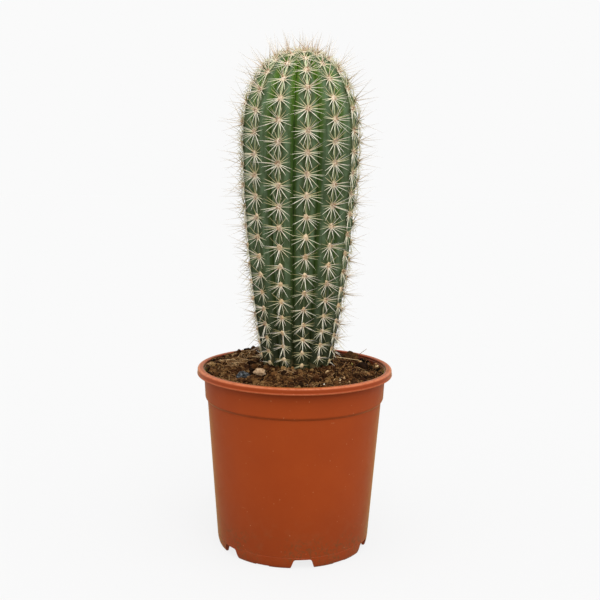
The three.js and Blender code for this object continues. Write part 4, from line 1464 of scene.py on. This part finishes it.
def make_sticks(material):
    paths = np.array([fallen_path(*stick[:4]) for stick in STICKS])
    share = np.linspace(0, 1, SPINE_STEPS)
    radii = np.array([thickness * (1 - 0.5 * share) for *_, thickness, _ in STICKS])
    corners, faces = tapered_tubes(paths, radii, SPINE_SIDES)
    tone = np.repeat([tone for *_, tone in STICKS], SPINE_STEPS * SPINE_SIDES)
    dress(make_piece("soil_sticks", corners, faces, {"tone": tone}), "peat_soil", material)


def make_marked_bits(rng, peat_material):
    places = np.array([place for place, *_ in MARKED_LUMPS])
    size, tone, warmth = np.array([numbers for _, *numbers in MARKED_LUMPS]).T
    numbers = {"tone": tone, "warmth": warmth}
    make_lumps("marked_clods", rng, places, size, numbers, (0.7, 0.9), 4, peat_material)
    pale = bright_bits("pale_mineral", (150, 136, 114), (216, 206, 186))
    mossy = bright_bits("mossy_bits", (104, 88, 44), (146, 130, 70))
    for name, bits, material in (("pale_bits", PALE_BITS, pale), ("mossy_bits", MOSSY_BITS, mossy)):
        places = np.array([place for place, _ in bits])
        size = np.array([size for _, size in bits])
        make_lumps(name, rng, places, size, {}, (0.7, 1.0), 3, material)


def make_ground_cover(peat_material):
    rng = np.random.default_rng(SOIL_SEED)
    scrap = plant_scrap()
    for kind in LOOSE_SOIL:
        scatter_lumps(rng, peat_material, *kind)
    make_marked_bits(rng, peat_material)
    scatter_lumps(rng, scrap, *BARK_BITS)
    scatter_fibres("soil_fibres", rng, soil_places(rng, FIBRE_COUNT), *LOOSE_FIBRES, scrap)
    nests = [rng.normal(place, spread, (count, 2)) for place, spread, count in FIBRE_NESTS]
    scatter_fibres("fibre_nests", rng, np.vstack(nests), *NEST_FIBRES, scrap)
    make_sticks(scrap)


# ---------------------------------------------------------------- named stones and clods

# The dark stone's hollow: the side of the unit ball that it lies on, its depth and its spread.
HOLLOW_SIDE = np.array([0.1, -0.55, 0.82])
HOLLOW_DEPTH = 0.34
HOLLOW_SPREAD = 0.2

# The flat faces on the stones: random seed, number and nearest distance as a share of the radius.
STONE_FACES = {"grey_stone": (5, 12, 0.66), "tan_stone": (8, 11, 0.74)}

# How much larger some fine pieces are than their plain solids, and how deep their grain is.
FINE_STRETCH = {"stone_grey": 1.22, "stone_tan": 1.04, "clod_back": np.array([1.25, 1.15, 1.5])}
GRAIN_DEPTH = {"grey_stone": 0.16, "tan_stone": 0.14, "peat_soil": 0.16}
LOOSE_SINK = 0.7  # how much lower the fine pieces lie

# Tone and warmth of each piece.
LOOSE_TONES = {
    "stone_grey": (0.6, 0.15),
    "stone_tan": (0.6, 0.15),
    "clod_dark": (0.1, 0.15),
    "clod_brown": (0.45, 1.0),
    "clod_back": (0.4, 0.15),
}


def broken_faces(ball, seed, count, nearest):
    """How far a ball reaches in each direction after flat faces are broken off it."""
    rng = np.random.default_rng(seed)
    sides = unit(rng.normal(0, 1, (count, 3)))
    distance = rng.uniform(nearest, 1, count)
    along = np.maximum(ball @ sides.T, 0.01)
    return np.minimum((distance / along).min(axis=1), 1.05)


def make_loose_piece(name, place, half, turn, edge, slot, material):
    """A stone or clod, finer than its solid and in the same place."""
    x, y = place
    ball, triangles = unit_lump(5)
    waves = np.sin(4.1 * ball[:, 0] + 1.3 * ball[:, 2]) * np.cos(3.3 * ball[:, 1] - 2.1 * ball[:, 2])
    grain = np.array([noise.fractal(Vector(p) * 1.7 + Vector((x, y, 0)), 0.8, 2.2, 5) for p in ball])
    in_hollow = np.exp(-((ball - HOLLOW_SIDE) ** 2).sum(axis=1) / HOLLOW_SPREAD)
    hollow = in_hollow if slot == "grey_stone" else 0
    reach = 1 - edge / 2 + edge * waves + GRAIN_DEPTH[slot] * grain - HOLLOW_DEPTH * hollow
    if slot in STONE_FACES:
        reach = reach * broken_faces(ball, *STONE_FACES[slot])
    shape = ball * reach[:, None] * np.array(half) * FINE_STRETCH.get(name, 1.0)
    spin = np.array(Matrix.Rotation(math.radians(turn), 3, "Z"))
    centre = np.array([x, y, float(soil_height(x, y)) + 0.25 * half[2] - LOOSE_SINK])
    tone, warmth = LOOSE_TONES[name]
    # Painted shade: the dark stone's hollow is made near black.
    tone = np.clip(tone + 0.12 * grain - 0.6 * hollow, 0, 1)
    numbers = {"tone": tone, "warmth": np.full(len(ball), warmth)}
    piece = make_piece(name + "_fine", shape @ spin.T + centre, triangles, numbers)
    dress(piece, slot, material, name)


def make_loose(peat_material):
    materials = {
        "grey_stone": stone("grey_stone", (14, 14, 14), (38, 40, 41), (118, 122, 124), 2.6),
        "tan_stone": stone("tan_stone", (108, 82, 56), (148, 120, 90), (198, 174, 146), 2.2),
        "peat_soil": peat_material,
    }
    for name, place, half, turn, edge, slot in LOOSE:
        make_loose_piece(name, place, half, turn, edge, slot, materials[slot])


# ---------------------------------------------------------------- assembly

add_camera()
add_studio()
make_pot()
make_stem()
horn = spine_horn()
make_spines(horn)
make_crown(horn)
make_felt()
peat_material = peat()
make_soil(peat_material)
make_loose(peat_material)
make_ground_cover(peat_material)
